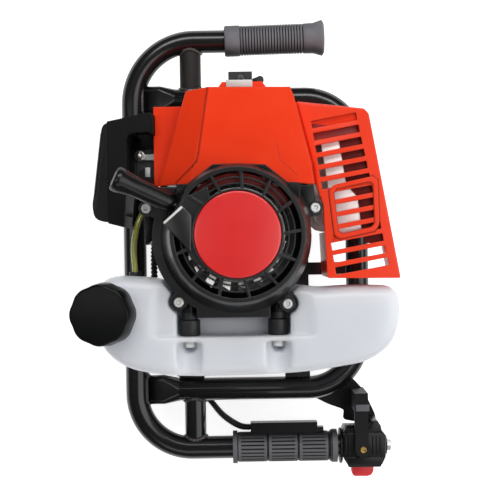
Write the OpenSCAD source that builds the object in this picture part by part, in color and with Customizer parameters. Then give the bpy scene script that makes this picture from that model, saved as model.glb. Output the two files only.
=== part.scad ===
// Earth auger power head: tube frame, two-stroke engine, centrifugal clutch and reduction gearbox.
// Millimetres, +Z up, drill axis on Z, origin at the shoulder of the output shaft.

/* [Frame tube] */
// Outside diameter of the handle and guard tube
tube_od = 25.4; // [20:0.1:32]
// Wall of the frame tube
tube_wall = 2; // [1.5:0.1:3]
// Height of the frame plane above the output shoulder
frame_z = 65; // [60:1:75]
// Sideways place of the spine tube
spine_x = -118; // [-135:1:-110]
// Place of the upper handle
top_handle_y = 221; // [205:1:240]
// Place of the lower handle
low_handle_y = -237; // [-255:1:-225]
// Centre radius of the upper handle bend
top_bend_r = 70; // [50:1:80]
// Centre radius of the lower handle bend
low_bend_r = 62; // [50:1:75]
// Place of the upper side of the guard loop
loop_top_y = 155; // [145:1:170]
// Place of the lower side of the guard loop
loop_low_y = -171; // [-185:1:-165]
// Place of the far side of the guard loop
loop_right_x = 132; // [120:1:145]
// Centre radius of the guard loop corners
loop_bend_r = 57; // [40:1:65]
// Height of the pressed loop end at the spine
flat_h = 33; // [28:1:38]
// Thickness of the pressed loop end
flat_t = 12; // [8:1:16]
// Place of the two struts between handle and loop
strut_x = -53; // [-65:1:-40]
// Outside diameter of the struts
strut_od = 24; // [18:0.5:25]

/* [Mount plate] */
// Thickness of the engine plate
plate_t = 6; // [5:0.5:8]
// Centre of the left plate arm
arm_left_x = -56; // [-60:1:-50]
// Centre of the right plate arm
arm_right_x = 63; // [55:1:70]
// Width of the left plate arm
arm_left_w = 28; // [20:1:32]
// Width of the right plate arm
arm_right_w = 28; // [20:1:36]

/* [Grips and throttle] */
// Start of the upper grip along its handle
grip_x = -12; // [-25:1:0]
// Length of the upper grip
grip_len = 112; // [95:1:130]
// Outside diameter of both grips
grip_od = 33.5; // [30:0.5:38]
// Diameter of the flared end of the upper grip
grip_flare = 40; // [36:0.5:44]
// Number of rings on the upper grip
grip_rings = 22; // [16:1:28]
// Start of the lower grip along its handle
low_grip_x = -11; // [-20:1:0]
// Length of the lower grip
low_grip_len = 117; // [100:1:120]
// Number of ribs round the lower grip
low_grip_ribs = 24; // [18:1:30]
// Length of the throttle housing
throttle_len = 50; // [40:1:60]
// Diameter of the throttle housing
throttle_od = 43; // [38:1:46]
// Length of the trigger arm from its pivot
trigger_reach = 62; // [54:1:66]
// Thickness of the trigger blade
trigger_t = 5; // [4:0.5:7]
// Outside diameter of the ribbed throttle conduit
conduit_od = 8; // [6:0.5:9]

/* [Gearbox and clutch] */
// Diameter of the output pin
output_d = 20; // [16:1:25]
// Length of the output pin
output_len = 45; // [35:1:60]
// Cross hole for the drill pin
cross_hole = 8.5; // [6:0.5:10]
// Place of the cross hole below the shaft shoulder
cross_hole_drop = 31; // [28:1:36]
// Height of the lower gearbox half
low_half_h = 34; // [32:1:36]
// Outside radius of the gearbox
gearbox_r = 50; // [48:1:53]
// Height of the clutch housing
clutch_h = 36; // [34:1:42]
// Outside radius of the clutch housing
clutch_r = 50; // [46:1:52]

/* [Engine] */
// Height of one crankcase half
case_half_h = 28; // [26:1:32]
// Outside radius of the crankcase
case_r = 48; // [44:1:50]
// Distance from crank axis to cylinder base
cyl_base_y = 45; // [42:1:48]
// Cylinder bore
bore_d = 44; // [40:1:46]
// Number of cooling fins
fin_count = 8; // [6:1:9]
// Sideways place of the spark plug
plug_x = 4; // [-6:1:8]
// Radius of the flywheel
flywheel_r = 58; // [54:1:60]

/* [Fan and starter] */
// Height of the fan housing
fan_h = 30; // [28:1:34]
// Radius of the fan housing
fan_r = 79; // [76:1:82]
// Sideways place of the fan housing centre
fan_x = -7; // [-10:1:0]
// Radius of the starter dome at its foot
dome_r = 68; // [66:1:69]
// Height of the starter dome
dome_h = 46; // [44:1:50]
// Number of grille blades
blade_count = 13; // [9:1:17]
// Radius of the badge seat
badge_r = 42; // [38:1:44]
// Thickness of the badge
badge_t = 3; // [2:0.5:4]
// Direction of the starter rope seen from above
pull_dir = 155; // [145:1:165]
// Rise of the starter rope
pull_rise = 13; // [8:1:18]
// Length of the starter handle
pull_len = 66; // [58:1:75]
// Diameter of the starter handle
pull_d = 23; // [20:0.5:26]

/* [Covers] */
// Wall of the red covers
cover_t = 2.5; // [2:0.1:4]
// Height of the engine shroud front
shroud_z = 196; // [190:1:198]
// Height of the muffler guard front
guard_z = 186; // [180:1:190]
// Number of slots in the muffler guard
slot_count = 13; // [9:1:14]
// Height of one guard slot
slot_h = 7.6; // [5:0.1:8]
// Height of the raised band on the guard
band_h = 1.2; // [0.6:0.1:2]

/* [Fuel tank] */
// Front of the tank
tank_z = 198; // [194:1:204]
// Back of the tank
tank_back_z = 122; // [120:1:130]
// Wall of the tank
tank_wall = 3; // [2:0.1:4]
// Ledge on which the tank posts stand
ledge_y = -101; // [-106:1:-98]
// Outside diameter of the fuel cap
cap_d = 58; // [52:1:62]
// Lean of the filler neck
cap_lean = 12; // [6:1:16]
// Outside diameter of the fuel hose
hose_od = 6; // [5:0.5:8]

/* [Hidden] */
$fn = 64;
run_gap = 0.05;
fit_gap = 0.3;
slide_gap = 0.5;
leg_lap = 5;
tube_r = tube_od / 2;
tube_id = tube_od - 2 * tube_wall;
plate_z0 = frame_z - plate_t / 2;
plate_z1 = frame_z + plate_t / 2;
case_z0 = plate_z1 + clutch_h;
case_mid = case_z0 + case_half_h;
case_z1 = case_mid + case_half_h;
fan_z1 = case_z1 + fan_h;
dome_z = fan_z1 + dome_h;
flat_x0 = spine_x + tube_r + 17;
flat_x1 = flat_x0 + 18;
top_end_x = grip_x + grip_len - 5;
throttle_x = low_grip_x + low_grip_len + 3;
throttle_x1 = throttle_x + throttle_len;
pivot_x = throttle_x + 24;
shaft_r = 12.5;
pinion_r = 6;
pinion_teeth = 12;
wheel_teeth = 78;
small_teeth = 10;
large_teeth = 50;
gear_centre = (pinion_teeth + wheel_teeth) / 2;
slow_module = 2 * gear_centre / (small_teeth + large_teeth);
crank_r = 7.5;
throw_r = 18;
rod_len = 62;
wrist_y = throw_r + rod_len;
crown_y = wrist_y + 20;
fin_pitch = 8;
head_y = cyl_base_y + 9 + fin_pitch * fin_count;
plug_y = head_y + 6;
stub_x = 50;
fin_top = 27;
muffler_top = 27;
carb_x = -72;
carb_len = 36;
box_z0 = 110;
box_z1 = 182;
post_z = fan_z1 - 14;
lug_spots = [[77, 26], [-91, 28], [-60, -66], [48, -69]];
post_spots = [-50.5, 39];
pull_root = [8 - dome_r, 29.5, fan_z1 + 25];
neck_spot = [-131, -74, tank_z + 2];
gear_bolt_x = gearbox_r + 7;
clutch_bolt = clutch_r - 9;

function unit(v) = v / norm(v);

// Moves every edge of a counter-clockwise outline inward by d.
function inset(p, d) = [for (i = [0:len(p) - 1])
    let (n = len(p), u = unit(p[i] - p[(i + n - 1) % n]), v = unit(p[(i + 1) % n] - p[i]),
        a = [-u.y, u.x], b = [-v.y, v.x]) p[i] + d * (a + b) / (1 + a * b)];

// Rounds the corners of an outline, starting each round at t from the corner.
function soften(p, t, n) = [for (i = [0:len(p) - 1], k = [0:n])
    let (m = len(p), a = p[(i + m - 1) % m] - p[i], b = p[(i + 1) % m] - p[i],
        s = p[i] + unit(a) * min(t, norm(a) * 0.45), e = p[i] + unit(b) * min(t, norm(b) * 0.45), f = k / n)
    s * (1 - f) * (1 - f) + p[i] * 2 * f * (1 - f) + e * f * f];

// Point on a smooth curve through the path p at position f.
function curve_at(p, f) =
    let (i = min(floor(f), len(p) - 2), t = f - i, a = p[max(i - 1, 0)], b = p[i], c = p[i + 1],
        d = p[min(i + 2, len(p) - 1)])
    0.5 * (2 * b + (c - a) * t + (2 * a - 5 * b + 4 * c - d) * t * t + (3 * b - 3 * c + d - a) * t * t * t);

// Ring of n points round the path p at position f, turned by the side direction up.
function ring_at(p, f, r, n, up = [0.31, 0.17, 0.94]) =
    let (e = 0.01, w = unit(curve_at(p, min(f + e, len(p) - 1)) - curve_at(p, max(f - e, 0))),
        u = unit(cross(w, up)), v = cross(w, u))
    [for (k = [0:n - 1]) curve_at(p, f) + r * (u * cos(360 * k / n) + v * sin(360 * k / n))];

// Outline of a gear with n teeth of module m.
function gear_outline(n, m) = [for (i = [0:n - 1], k = [0:3])
    let (a = 360 / n * (i + [-0.27, -0.1, 0.1, 0.27][k]), r = m * (n / 2 + [-1.25, 0.8, 0.8, -1.25][k]))
    [r * cos(a), r * sin(a)]];

module skin(rings) {
    n = len(rings[0]);
    m = len(rings);
    polyhedron(points = [for (r = rings) each r], faces = concat(
        [[for (i = [0:n - 1]) i]],
        [[for (i = [0:n - 1]) m * n - 1 - i]],
        [for (j = [0:m - 2], i = [0:n - 1])
            [j * n + i, (j + 1) * n + i, (j + 1) * n + (i + 1) % n, j * n + (i + 1) % n]]));
}

module hose(p, r, n, steps, up = [0.31, 0.17, 0.94]) {
    skin([for (j = [0:steps]) ring_at(p, j * (len(p) - 1) / steps, r, n, up)]);
}

module cyl_x(d, x0, x1) {
    translate([x0, 0, 0]) rotate([0, 90, 0]) cylinder(d = d, h = x1 - x0);
}

module cyl_y(d, y0, y1) {
    translate([0, y0, 0]) rotate([-90, 0, 0]) cylinder(d = d, h = y1 - y0);
}

module cyl_z(d, z0, z1) {
    translate([0, 0, z0]) cylinder(d = d, h = z1 - z0);
}

module box(x0, x1, y0, y1, z0, z1) {
    translate([x0, y0, z0]) cube([x1 - x0, y1 - y0, z1 - z0]);
}

// Quarter bend with a straight leg from each of its ends.
module bent_tube(r, d, turn, first, second) {
    rotate([0, 0, turn]) {
        rotate_extrude(angle = 90) translate([r, 0]) circle(d = d);
        translate([r, 0, 0]) rotate([90, 0, 0]) cylinder(d = d, h = first);
        translate([0, r, 0]) rotate([0, -90, 0]) cylinder(d = d, h = second);
    }
}

module handle_form(d, over) {
    half = (top_handle_y - top_bend_r - low_handle_y - low_bend_r) / 2 + leg_lap;
    translate([spine_x + top_bend_r, top_handle_y - top_bend_r, frame_z])
        bent_tube(top_bend_r, d, 90, top_end_x + over - spine_x - top_bend_r, half);
    translate([spine_x + low_bend_r, low_handle_y + low_bend_r, frame_z])
        bent_tube(low_bend_r, d, 180, half, throttle_x1 + over - spine_x - low_bend_r);
}

// Operator handle, one bent tube in the shape of a C.
module handle_tube() {
    color("black") difference() {
        handle_form(tube_od, 0);
        handle_form(tube_id, 1);
    }
}

module loop_form(d) {
    half = (loop_top_y - loop_low_y) / 2 - loop_bend_r + leg_lap;
    side = loop_right_x - loop_bend_r - flat_x1;
    translate([loop_right_x - loop_bend_r, loop_top_y - loop_bend_r, frame_z])
        bent_tube(loop_bend_r, d, 0, half, side);
    translate([loop_right_x - loop_bend_r, loop_low_y + loop_bend_r, frame_z])
        bent_tube(loop_bend_r, d, 270, side, half);
}

module flat_shape() {
    square([flat_t, flat_h - flat_t], center = true);
    for (s = [-1, 1])
        translate([0, s * (flat_h - flat_t) / 2]) circle(d = flat_t, $fn = 32);
}

// Guard loop round the engine with pressed ends on the spine.
module guard_loop() {
    color("black") difference() {
        union() {
            loop_form(tube_od);
            for (y = [loop_top_y, loop_low_y])
                translate([0, y, frame_z]) {
                    hull() {
                        translate([flat_x1, 0, 0]) rotate([0, 90, 0]) cylinder(d = tube_od, h = 1, $fn = 32);
                        translate([flat_x0, 0, 0]) rotate([0, 90, 0]) linear_extrude(1) flat_shape();
                    }
                    translate([spine_x, 0, 0]) rotate([0, 90, 0])
                        linear_extrude(flat_x0 + 1 - spine_x) flat_shape();
                }
        }
        loop_form(tube_id);
        handle_form(tube_od + 2 * fit_gap, 0);
    }
}

// Two short tubes welded between handle and guard loop.
module frame_struts() {
    color("black") difference() {
        translate([strut_x, 0, frame_z]) {
            cyl_y(strut_od, loop_top_y, top_handle_y);
            cyl_y(strut_od, low_handle_y, loop_low_y);
        }
        translate([strut_x, 0, frame_z]) {
            cyl_y(strut_od - 2 * tube_wall, loop_top_y - 1, top_handle_y + 1);
            cyl_y(strut_od - 2 * tube_wall, low_handle_y - 1, loop_low_y + 1);
        }
        handle_form(tube_od + 2 * fit_gap, 0);
        for (y = [loop_top_y, loop_low_y])
            translate([0, y, frame_z]) cyl_x(tube_od + 2 * fit_gap, strut_x - strut_od, strut_x + strut_od);
    }
}

// Steel plate with arms that carries engine and gearbox inside the loop.
module mount_plate() {
    y0 = loop_low_y + tube_r + fit_gap;
    y1 = loop_top_y - tube_r - fit_gap;
    x0 = arm_left_x - arm_left_w / 2;
    x1 = arm_right_x + arm_right_w / 2;
    color("black") translate([0, 0, plate_z0]) linear_extrude(plate_t) difference() {
        union() {
            translate([x0, -78]) square([x1 - x0, 78 + gear_centre + 30]);
            translate([x0, y0]) square([arm_left_w, y1 - y0]);
            translate([x1 - arm_right_w, y0]) square([arm_right_w, y1 - y0]);
            translate([0, -44]) square([loop_right_x - tube_r - fit_gap, 14]);
        }
        circle(r = 16);
        for (s = [-1, 1]) {
            for (y = [0, gear_centre])
                translate([s * gear_bolt_x, y]) circle(d = 6.6);
            for (t = [-1, 1])
                translate([s * clutch_bolt, t * clutch_bolt]) circle(d = 6.6);
        }
    }
}

// Rubber sleeve with rings and a flared closed end.
module upper_grip() {
    r = grip_od / 2;
    pitch = (grip_len - 42) / grip_rings;
    rings = [for (i = [0:grip_rings - 1], k = [0:3])
        [18 + pitch * (i + [0.05, 0.15, 0.75, 0.9][k]), r - [1.3, 0, 0, 1.3][k]]];
    profile = concat([[0, tube_r + run_gap], [0, r - 1], [1.5, r + 0.5], [17, r + 0.5]], rings,
        [[grip_len - 23, r], [grip_len - 12, r + 0.3], [grip_len - 4, grip_flare / 2 - 0.5],
        [grip_len - 2, grip_flare / 2], [grip_len, grip_flare / 2 - 3], [grip_len, 0],
        [grip_len - 4.9, 0], [grip_len - 4.9, tube_r + run_gap]]);
    color("dimgray") translate([grip_x, top_handle_y, frame_z]) rotate([0, 90, 0])
        rotate_extrude() polygon([for (p = profile) [p.y, p.x]]);
}

// Rubber sleeve with three blocks of lengthwise ribs.
module lower_grip() {
    r = grip_od / 2;
    block = (low_grip_len - 22) / 3;
    color("dimgray") translate([low_grip_x, low_handle_y, frame_z]) rotate([0, 90, 0]) difference() {
        union() {
            cyl_z(2 * r - 1.6, 0, low_grip_len);
            cyl_z(2 * r + 3, 0, 5);
            cyl_z(2 * r + 2, low_grip_len - 12, low_grip_len - 10);
            cyl_z(2 * r + 3.5, low_grip_len - 6, low_grip_len);
            for (b = [0:2])
                translate([0, 0, 6 + b * block]) {
                    cyl_z(2 * r, 0, 3);
                    cyl_z(2 * r, block - 5, block - 2);
                    linear_extrude(block - 2) difference() {
                        circle(r = r);
                        for (i = [0:low_grip_ribs - 1])
                            rotate(360 * i / low_grip_ribs) translate([r - 0.8, -0.9]) square([3, 1.8]);
                    }
                }
        }
        cyl_z(tube_od + 2 * run_gap, -1, low_grip_len + 1);
    }
}

module throttle_form() {
    difference() {
        translate([0, low_handle_y, frame_z]) {
            cyl_x(throttle_od - 6, throttle_x, throttle_x1);
            cyl_x(throttle_od, throttle_x + 4, throttle_x + 20);
            cyl_x(throttle_od - 2, throttle_x + 20, throttle_x1 - 7);
            cyl_x(throttle_od, throttle_x + 33, throttle_x1 - 10);
            box(pivot_x - 9, pivot_x + 9, -9, 9, 0, throttle_od / 2);
        }
        translate([0, low_handle_y, frame_z]) cyl_x(tube_od + 2 * run_gap, throttle_x - 1, throttle_x1 + 1);
        translate([0, low_handle_y, frame_z])
            box(pivot_x - 17, pivot_x + 13, -40, -throttle_od / 2 + 4, -8.5, 8.5);
        translate([pivot_x, low_handle_y, 0]) cyl_z(6.2, frame_z + tube_r + 1, frame_z + throttle_od);
    }
}

// Upper clamp half of the throttle housing.
module throttle_front() {
    color("black") intersection() {
        throttle_form();
        box(throttle_x - 5, throttle_x1 + 5, low_handle_y - 60, low_handle_y + 60, frame_z, frame_z + 60);
    }
}

// Lower clamp half of the throttle housing.
module throttle_rear() {
    color("black") intersection() {
        throttle_form();
        box(throttle_x - 5, throttle_x1 + 5, low_handle_y - 60, low_handle_y + 60, frame_z - 60, frame_z);
    }
}

// Throttle lever: arm on the pivot, web and broad finger blade behind the loop.
module throttle_trigger() {
    z1 = frame_z + throttle_od / 2 + fit_gap;
    z0 = frame_z - tube_r - 5.5 - trigger_t;
    k = trigger_reach;
    blade = soften([[-18, 26], [-16, 37], [-35, 44], [-56, 55], [-53, 60], [-7, 74], [6, 60], [19, 32],
        [21, 20], [8, 21]], 4, 3);
    color("black") translate([pivot_x, low_handle_y, 0]) {
        difference() {
            union() {
                cyl_z(18, z1, z1 + 6);
                box(-9, 6, 0, k, z1, z1 + 6);
            }
            cyl_z(6.2, z1 - 1, z1 + 7);
        }
        box(-9, 6, k - 20, k, z0, z1 + 6);
        translate([0, 0, z0]) linear_extrude(trigger_t) polygon([for (i = [len(blade) - 1:-1:0]) blade[i]]);
    }
}

// Pivot screw of the trigger and the bolt in the bar end.
module throttle_screws() {
    z1 = frame_z + throttle_od / 2 + fit_gap + 6;
    color("silver") {
        translate([pivot_x, low_handle_y, 0]) {
            cyl_z(6, frame_z + tube_r + 1.5, z1 + 1);
            difference() {
                cyl_z(10, z1 + fit_gap, z1 + 3);
                box(-6, 6, -0.6, 0.6, z1 + 2, z1 + 4);
            }
        }
        translate([0, low_handle_y, frame_z]) {
            cyl_x(10, throttle_x1 - 20, throttle_x1 + 1);
            cyl_x(22, throttle_x1, throttle_x1 + 3);
            translate([throttle_x1 + 3, 0, 0]) rotate([0, 90, 0]) cylinder(d = 15, h = 6, $fn = 6);
        }
    }
}

// Red stop switch in the side of the throttle housing.
module stop_switch() {
    y1 = low_handle_y - throttle_od / 2 + 4 - slide_gap;
    color("red") box(pivot_x - 14, pivot_x + 10, y1 - 12.5, y1, frame_z - 8, frame_z + 8);
}

// Strap that holds the conduit along the lower grip.
module cable_cover() {
    y0 = low_handle_y + grip_od / 2 - 2;
    x0 = low_grip_x + 20;
    color("black") difference() {
        union() {
            box(x0, x0 + 75, y0, y0 + 13, frame_z - 7, frame_z + 7);
            box(x0 + 74, x0 + 82, y0, y0 + 7, frame_z - 5, frame_z + 5);
        }
        translate([0, low_handle_y, frame_z]) cyl_x(grip_od + 2 * fit_gap, x0 - 1, x0 + 100);
        translate([0, y0 + 7.5, frame_z]) cyl_x(conduit_od + 2 * fit_gap, x0 - 1, x0 + 26);
    }
}

// Ribbed conduit with throttle wire, from the strap under the loop and behind the tank to the carburettor.
module throttle_conduit() {
    y0 = low_handle_y + grip_od / 2 + 5.5;
    x0 = low_grip_x + 20;
    path = [[x0 + 24, y0, frame_z], [x0 + 4, y0, frame_z], [x0 - 12, y0 + 1, frame_z - 3],
        [-22, y0 + 11, frame_z - 16], [-38, loop_low_y - 16, frame_z - 25], [-56, loop_low_y, frame_z - 26],
        [-78, loop_low_y + 22, frame_z - 22], [-91, -118, frame_z - 2], [-93, -88, 90], [-93, -50, 104],
        [-92, -8, 110], [-87, 26, 116], [-79, 45, 125], [-79, 56.4, 126]];
    ribs = 80;
    r = conduit_od / 2;
    color("black") difference() {
        skin([for (j = [0:ribs], k = [0:1])
            ring_at(path, min((j + 0.5 * k) * (len(path) - 1) / ribs, len(path) - 1 - 0.002 * (1 - k)),
                r - 0.9 * k, 8)]);
        hose(path, r - 2, 6, 40);
    }
}

module gearbox_outline(r) {
    circle(r = r);
    translate([0, gear_centre]) circle(r = r);
    translate([-r, 0]) square([2 * r, gear_centre]);
}

module gearbox_plan() {
    gearbox_outline(gearbox_r);
    for (y = [0, gear_centre]) {
        for (s = [-1, 1])
            translate([s * gear_bolt_x, y]) circle(r = 9);
        translate([-gear_bolt_x, y - 9]) square([2 * gear_bolt_x, 18]);
    }
}

module gear_bolt_holes() {
    for (s = [-1, 1], y = [0, gear_centre])
        translate([s * gear_bolt_x, y, 0]) cyl_z(6.6, -1, plate_z1 + 1);
}

// Upper cast half of the gearbox under the mount plate.
module gearbox_upper() {
    color("gray") difference() {
        translate([0, 0, low_half_h]) linear_extrude(plate_z0 - low_half_h) gearbox_plan();
        translate([0, 0, low_half_h - 1]) linear_extrude(plate_z0 - 7 - low_half_h)
            gearbox_outline(gearbox_r - 6);
        cyl_z(30, low_half_h, plate_z1);
        translate([0, gear_centre, 0]) cyl_z(12 + 2 * run_gap, low_half_h, plate_z0 - 4);
        gear_bolt_holes();
    }
}

// Lower cast half of the gearbox with the output bearing.
module gearbox_lower() {
    color("gray") difference() {
        union() {
            difference() {
                union() {
                    linear_extrude(low_half_h) gearbox_outline(gearbox_r);
                    translate([0, 0, low_half_h - 10]) linear_extrude(10) gearbox_plan();
                }
                translate([0, 0, 12]) linear_extrude(low_half_h) gearbox_outline(gearbox_r - 6);
            }
            cyl_z(58, 0, 18);
        }
        cyl_z(36, -1, 5);
        cyl_z(47, 4, 19);
        translate([0, gear_centre, 0]) cyl_z(12 + 2 * run_gap, 6, 20);
        gear_bolt_holes();
    }
}

// Screws of gearbox and clutch housing.
module housing_bolts() {
    color("silver") {
        for (s = [-1, 1], y = [0, gear_centre])
            translate([s * gear_bolt_x, y, 0]) {
                cyl_z(6, low_half_h - 11, plate_z1 - 1);
                translate([0, 0, low_half_h - 16]) cylinder(d = 11, h = 6, $fn = 6);
            }
        for (s = [-1, 1], t = [-1, 1])
            translate([s * clutch_bolt, t * clutch_bolt, 0]) {
                cyl_z(6, plate_z0 + 0.5, plate_z1 + 7);
                cyl_z(10, plate_z1 + 6, plate_z1 + 12);
            }
    }
}

// Ball bearings of output shaft, pinion and crankshaft as closed rings.
module shaft_bearings() {
    color("silver") {
        difference() {
            cyl_z(47 - 2 * run_gap, 4, 18);
            cyl_z(2 * shaft_r + 2 * run_gap, 3, 19);
        }
        difference() {
            cyl_z(36 - 2 * run_gap, 0.5, 4);
            cyl_z(2 * shaft_r + 2 * run_gap, 0, 5);
        }
        difference() {
            cyl_z(30 - 2 * run_gap, plate_z0 - 8, plate_z0);
            cyl_z(2 * pinion_r + 2 * run_gap, plate_z0 - 9, plate_z0 + 1);
        }
        for (z = [case_z0 + 1, case_z1 - 12])
            difference() {
                cyl_z(35 - 2 * run_gap, z, z + 11);
                cyl_z(2 * crank_r + 2 * run_gap, z - 1, z + 12);
            }
    }
}

// Output shaft with shoulder and cross hole for the drill.
module output_shaft() {
    color("silver") difference() {
        union() {
            cyl_z(output_d, -output_len, 1);
            cyl_z(2 * shaft_r, 0, low_half_h + 2);
        }
        translate([0, 0, -cross_hole_drop]) cyl_x(cross_hole, -output_d, output_d);
    }
}

// Large gear on the output shaft.
module output_gear() {
    color("silver") translate([0, 0, 20]) linear_extrude(low_half_h - 20) difference() {
        polygon(gear_outline(large_teeth, slow_module));
        circle(r = shaft_r + 0.02);
        for (i = [0:5])
            rotate(60 * i) translate([24, 0]) circle(r = 6);
    }
}

// Double gear on the layshaft.
module layshaft_gear() {
    color("silver") translate([0, gear_centre, 0]) difference() {
        union() {
            translate([0, 0, 21]) linear_extrude(19) rotate(180 / small_teeth)
                polygon(gear_outline(small_teeth, slow_module));
            translate([0, 0, 40]) linear_extrude(10) polygon(gear_outline(wheel_teeth, 1));
        }
        cyl_z(2 * 3.5 + 2 * run_gap, 20, 52);
    }
}

// Fixed pin of the layshaft with stepped ends.
module layshaft_pin() {
    color("silver") translate([0, gear_centre, 0]) {
        cyl_z(12, 6, 18);
        cyl_z(7, 17, 52);
        cyl_z(12, 51, plate_z0 - 4);
    }
}

// Clutch housing on the plate.
module clutch_housing() {
    color("gray") difference() {
        union() {
            cyl_z(2 * clutch_r, plate_z1, case_z0);
            translate([0, 0, plate_z1]) linear_extrude(6) for (s = [-1, 1], t = [-1, 1])
                translate([s * clutch_bolt, t * clutch_bolt]) circle(r = 8.5);
        }
        cyl_z(2 * clutch_r - 14, plate_z1 + 4, case_z0 + 1);
        cyl_z(32, plate_z1 - 1, plate_z1 + 5);
        for (s = [-1, 1], t = [-1, 1])
            translate([s * clutch_bolt, t * clutch_bolt, 0]) {
                cyl_z(6.6, plate_z1 - 1, plate_z1 + 7);
                cyl_z(11, plate_z1 + 6, case_z0 - 6);
            }
    }
}

// Clutch drum with the drive pinion on its shaft.
module clutch_drum() {
    z = plate_z1 + 8;
    color("silver") {
        difference() {
            cyl_z(78, z, z + 23);
            cyl_z(72, z + 3, z + 24);
        }
        cyl_z(2 * pinion_r, plate_z0 - 10, z + 1);
        translate([0, 0, 38]) linear_extrude(plate_z0 - 10 - 38) polygon(gear_outline(pinion_teeth, 1));
    }
}

// Two centrifugal shoes on the pins of their hub.
module clutch_shoes() {
    z = plate_z1 + 13;
    color("dimgray") {
        difference() {
            union() {
                cyl_z(24, z, z + 16);
                cyl_z(56, z + 16, z + 19);
                for (s = [-1, 1])
                    translate([0, s * 22, 0]) cyl_z(8, z + 1, z + 17);
            }
            cyl_z(2 * crank_r + 0.04, z - 1, z + 20);
        }
        for (s = [-1, 1])
            difference() {
                cyl_z(69, z, z + 15.7);
                cyl_z(28, z - 1, z + 17);
                box(-40, 40, s > 0 ? -40 : -4, s > 0 ? 4 : 40, z - 1, z + 17);
                translate([0, s * 22, 0]) cyl_z(8.2, z - 1, z + 17);
            }
    }
}

module case_form(z0, z1) {
    difference() {
        union() {
            cyl_z(2 * case_r, z0, z1);
            box(-32, 32, 0, cyl_base_y, z0, z1);
        }
        cyl_z(62, case_z0 + 12, case_z1 - 12);
        cyl_z(35, case_z0 + 1, case_z0 + 13);
        cyl_z(35, case_z1 - 13, case_z1 - 1);
        cyl_z(18, case_z0 - 1, case_z1 + 1);
        translate([0, 0, case_mid]) cyl_y(bore_d + 7.4, 24, cyl_base_y + 1);
        box(-case_r, case_r, cyl_base_y, case_r + 1, case_z0 - 1, case_z1 + 1);
    }
}

// Crankcase half on the clutch side.
module crankcase_rear() {
    color("gray") case_form(case_z0, case_mid);
}

// Crankcase half on the starter side.
module crankcase_front() {
    color("gray") case_form(case_mid, case_z1);
}

// Crankshaft with two round webs.
module crankshaft() {
    color("silver") {
        cyl_z(2 * crank_r, plate_z1 + 12, case_mid - 13);
        cyl_z(2 * crank_r, case_mid + 13, fan_z1 + 10);
        cyl_z(58, case_mid - 14, case_mid - 5);
        cyl_z(58, case_mid + 5, case_mid + 14);
    }
}

// Connecting rod with crank pin and wrist pin.
module connecting_rod() {
    color("silver") translate([0, 0, case_mid]) {
        translate([0, throw_r, 0]) cyl_z(26, -4, 4);
        translate([0, throw_r, 0]) cyl_z(16, -4.7, 4.7);
        translate([0, wrist_y, 0]) cyl_z(18, -4, 4);
        box(-5, 5, throw_r, wrist_y, -3, 3);
        translate([0, wrist_y, 0]) cyl_z(10, -17, 17);
    }
}

// Piston with skirt and wrist pin bosses.
module piston() {
    color("silver") translate([0, 0, case_mid]) difference() {
        union() {
            difference() {
                cyl_y(bore_d - 0.6, wrist_y - 16, crown_y);
                cyl_y(bore_d - 7, wrist_y - 17, crown_y - 6);
            }
            intersection() {
                cyl_y(bore_d - 1, wrist_y - 16, crown_y - 1);
                union() {
                    translate([0, wrist_y, 0]) cyl_z(16, 5, 21);
                    translate([0, wrist_y, 0]) cyl_z(16, -21, -5);
                }
            }
        }
        translate([0, wrist_y, 0]) cyl_z(10 + 2 * run_gap, -17.5, 17.5);
        for (y = [5, 9, 13])
            difference() {
                translate([0, crown_y - y, 0]) cyl_y(bore_d + 2, 0, 1.5);
                translate([0, crown_y - y, 0]) cyl_y(bore_d - 3, -1, 3);
            }
    }
}

// Finned cylinder with intake stub, exhaust stub and plug thread.
module engine_cylinder() {
    color("silver") translate([0, 0, case_mid]) difference() {
        union() {
            cyl_y(bore_d + 7, cyl_base_y - 15, cyl_base_y + 1);
            box(-32, 32, cyl_base_y, cyl_base_y + 6, -case_half_h, case_half_h);
            cyl_y(2 * case_half_h, cyl_base_y, plug_y);
            for (i = [0:fin_count - 1])
                box(-44, 44, cyl_base_y + 9 + i * fin_pitch, cyl_base_y + 11.5 + i * fin_pitch, -34, fin_top);
            box(-stub_x, stub_x, 62, 86, -14, 14);
        }
        cyl_y(bore_d, cyl_base_y - 16, crown_y + 1);
        translate([0, 74, 0]) cyl_x(18, -stub_x - 1, stub_x + 1);
        translate([plug_x, 0, 0]) cyl_y(14, crown_y, plug_y + 1);
    }
}

// Spark plug with hexagon and white insulator.
module spark_plug() {
    color("white") translate([plug_x, 0, case_mid]) {
        cyl_y(13.6, crown_y + 3, plug_y + 1);
        translate([0, plug_y, 0]) rotate([-90, 0, 0]) cylinder(d = 21, h = 10, $fn = 6);
        cyl_y(10, plug_y + 9, plug_y + 30);
        cyl_y(6, plug_y + 29, plug_y + 35);
    }
}

// Rubber cap on the spark plug.
module plug_cap() {
    color("black") translate([plug_x, 0, case_mid]) difference() {
        union() {
            cyl_y(26, plug_y + 16, plug_y + 29);
            box(-12.5, 12.5, plug_y + 28, plug_y + 48.5, -11, 11);
        }
        cyl_y(10.6, plug_y + 15, plug_y + 30.5);
        cyl_y(6.6, plug_y + 30, plug_y + 36);
    }
}

// High-tension lead from coil to plug cap.
module ignition_lead() {
    path = [[14, flywheel_r + 26.8, fan_z1 - 16], [14, 96, fan_z1 - 13], [16, 118, fan_z1 - 9],
        [12, 136, fan_z1 - 16], [plug_x + 1, plug_y + 37, case_mid + 27],
        [plug_x + 1, plug_y + 40, case_mid + 11.8]];
    color("black") hose(path, 3.5, 8, 24, [1, 0.1, 0]);
}

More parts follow.
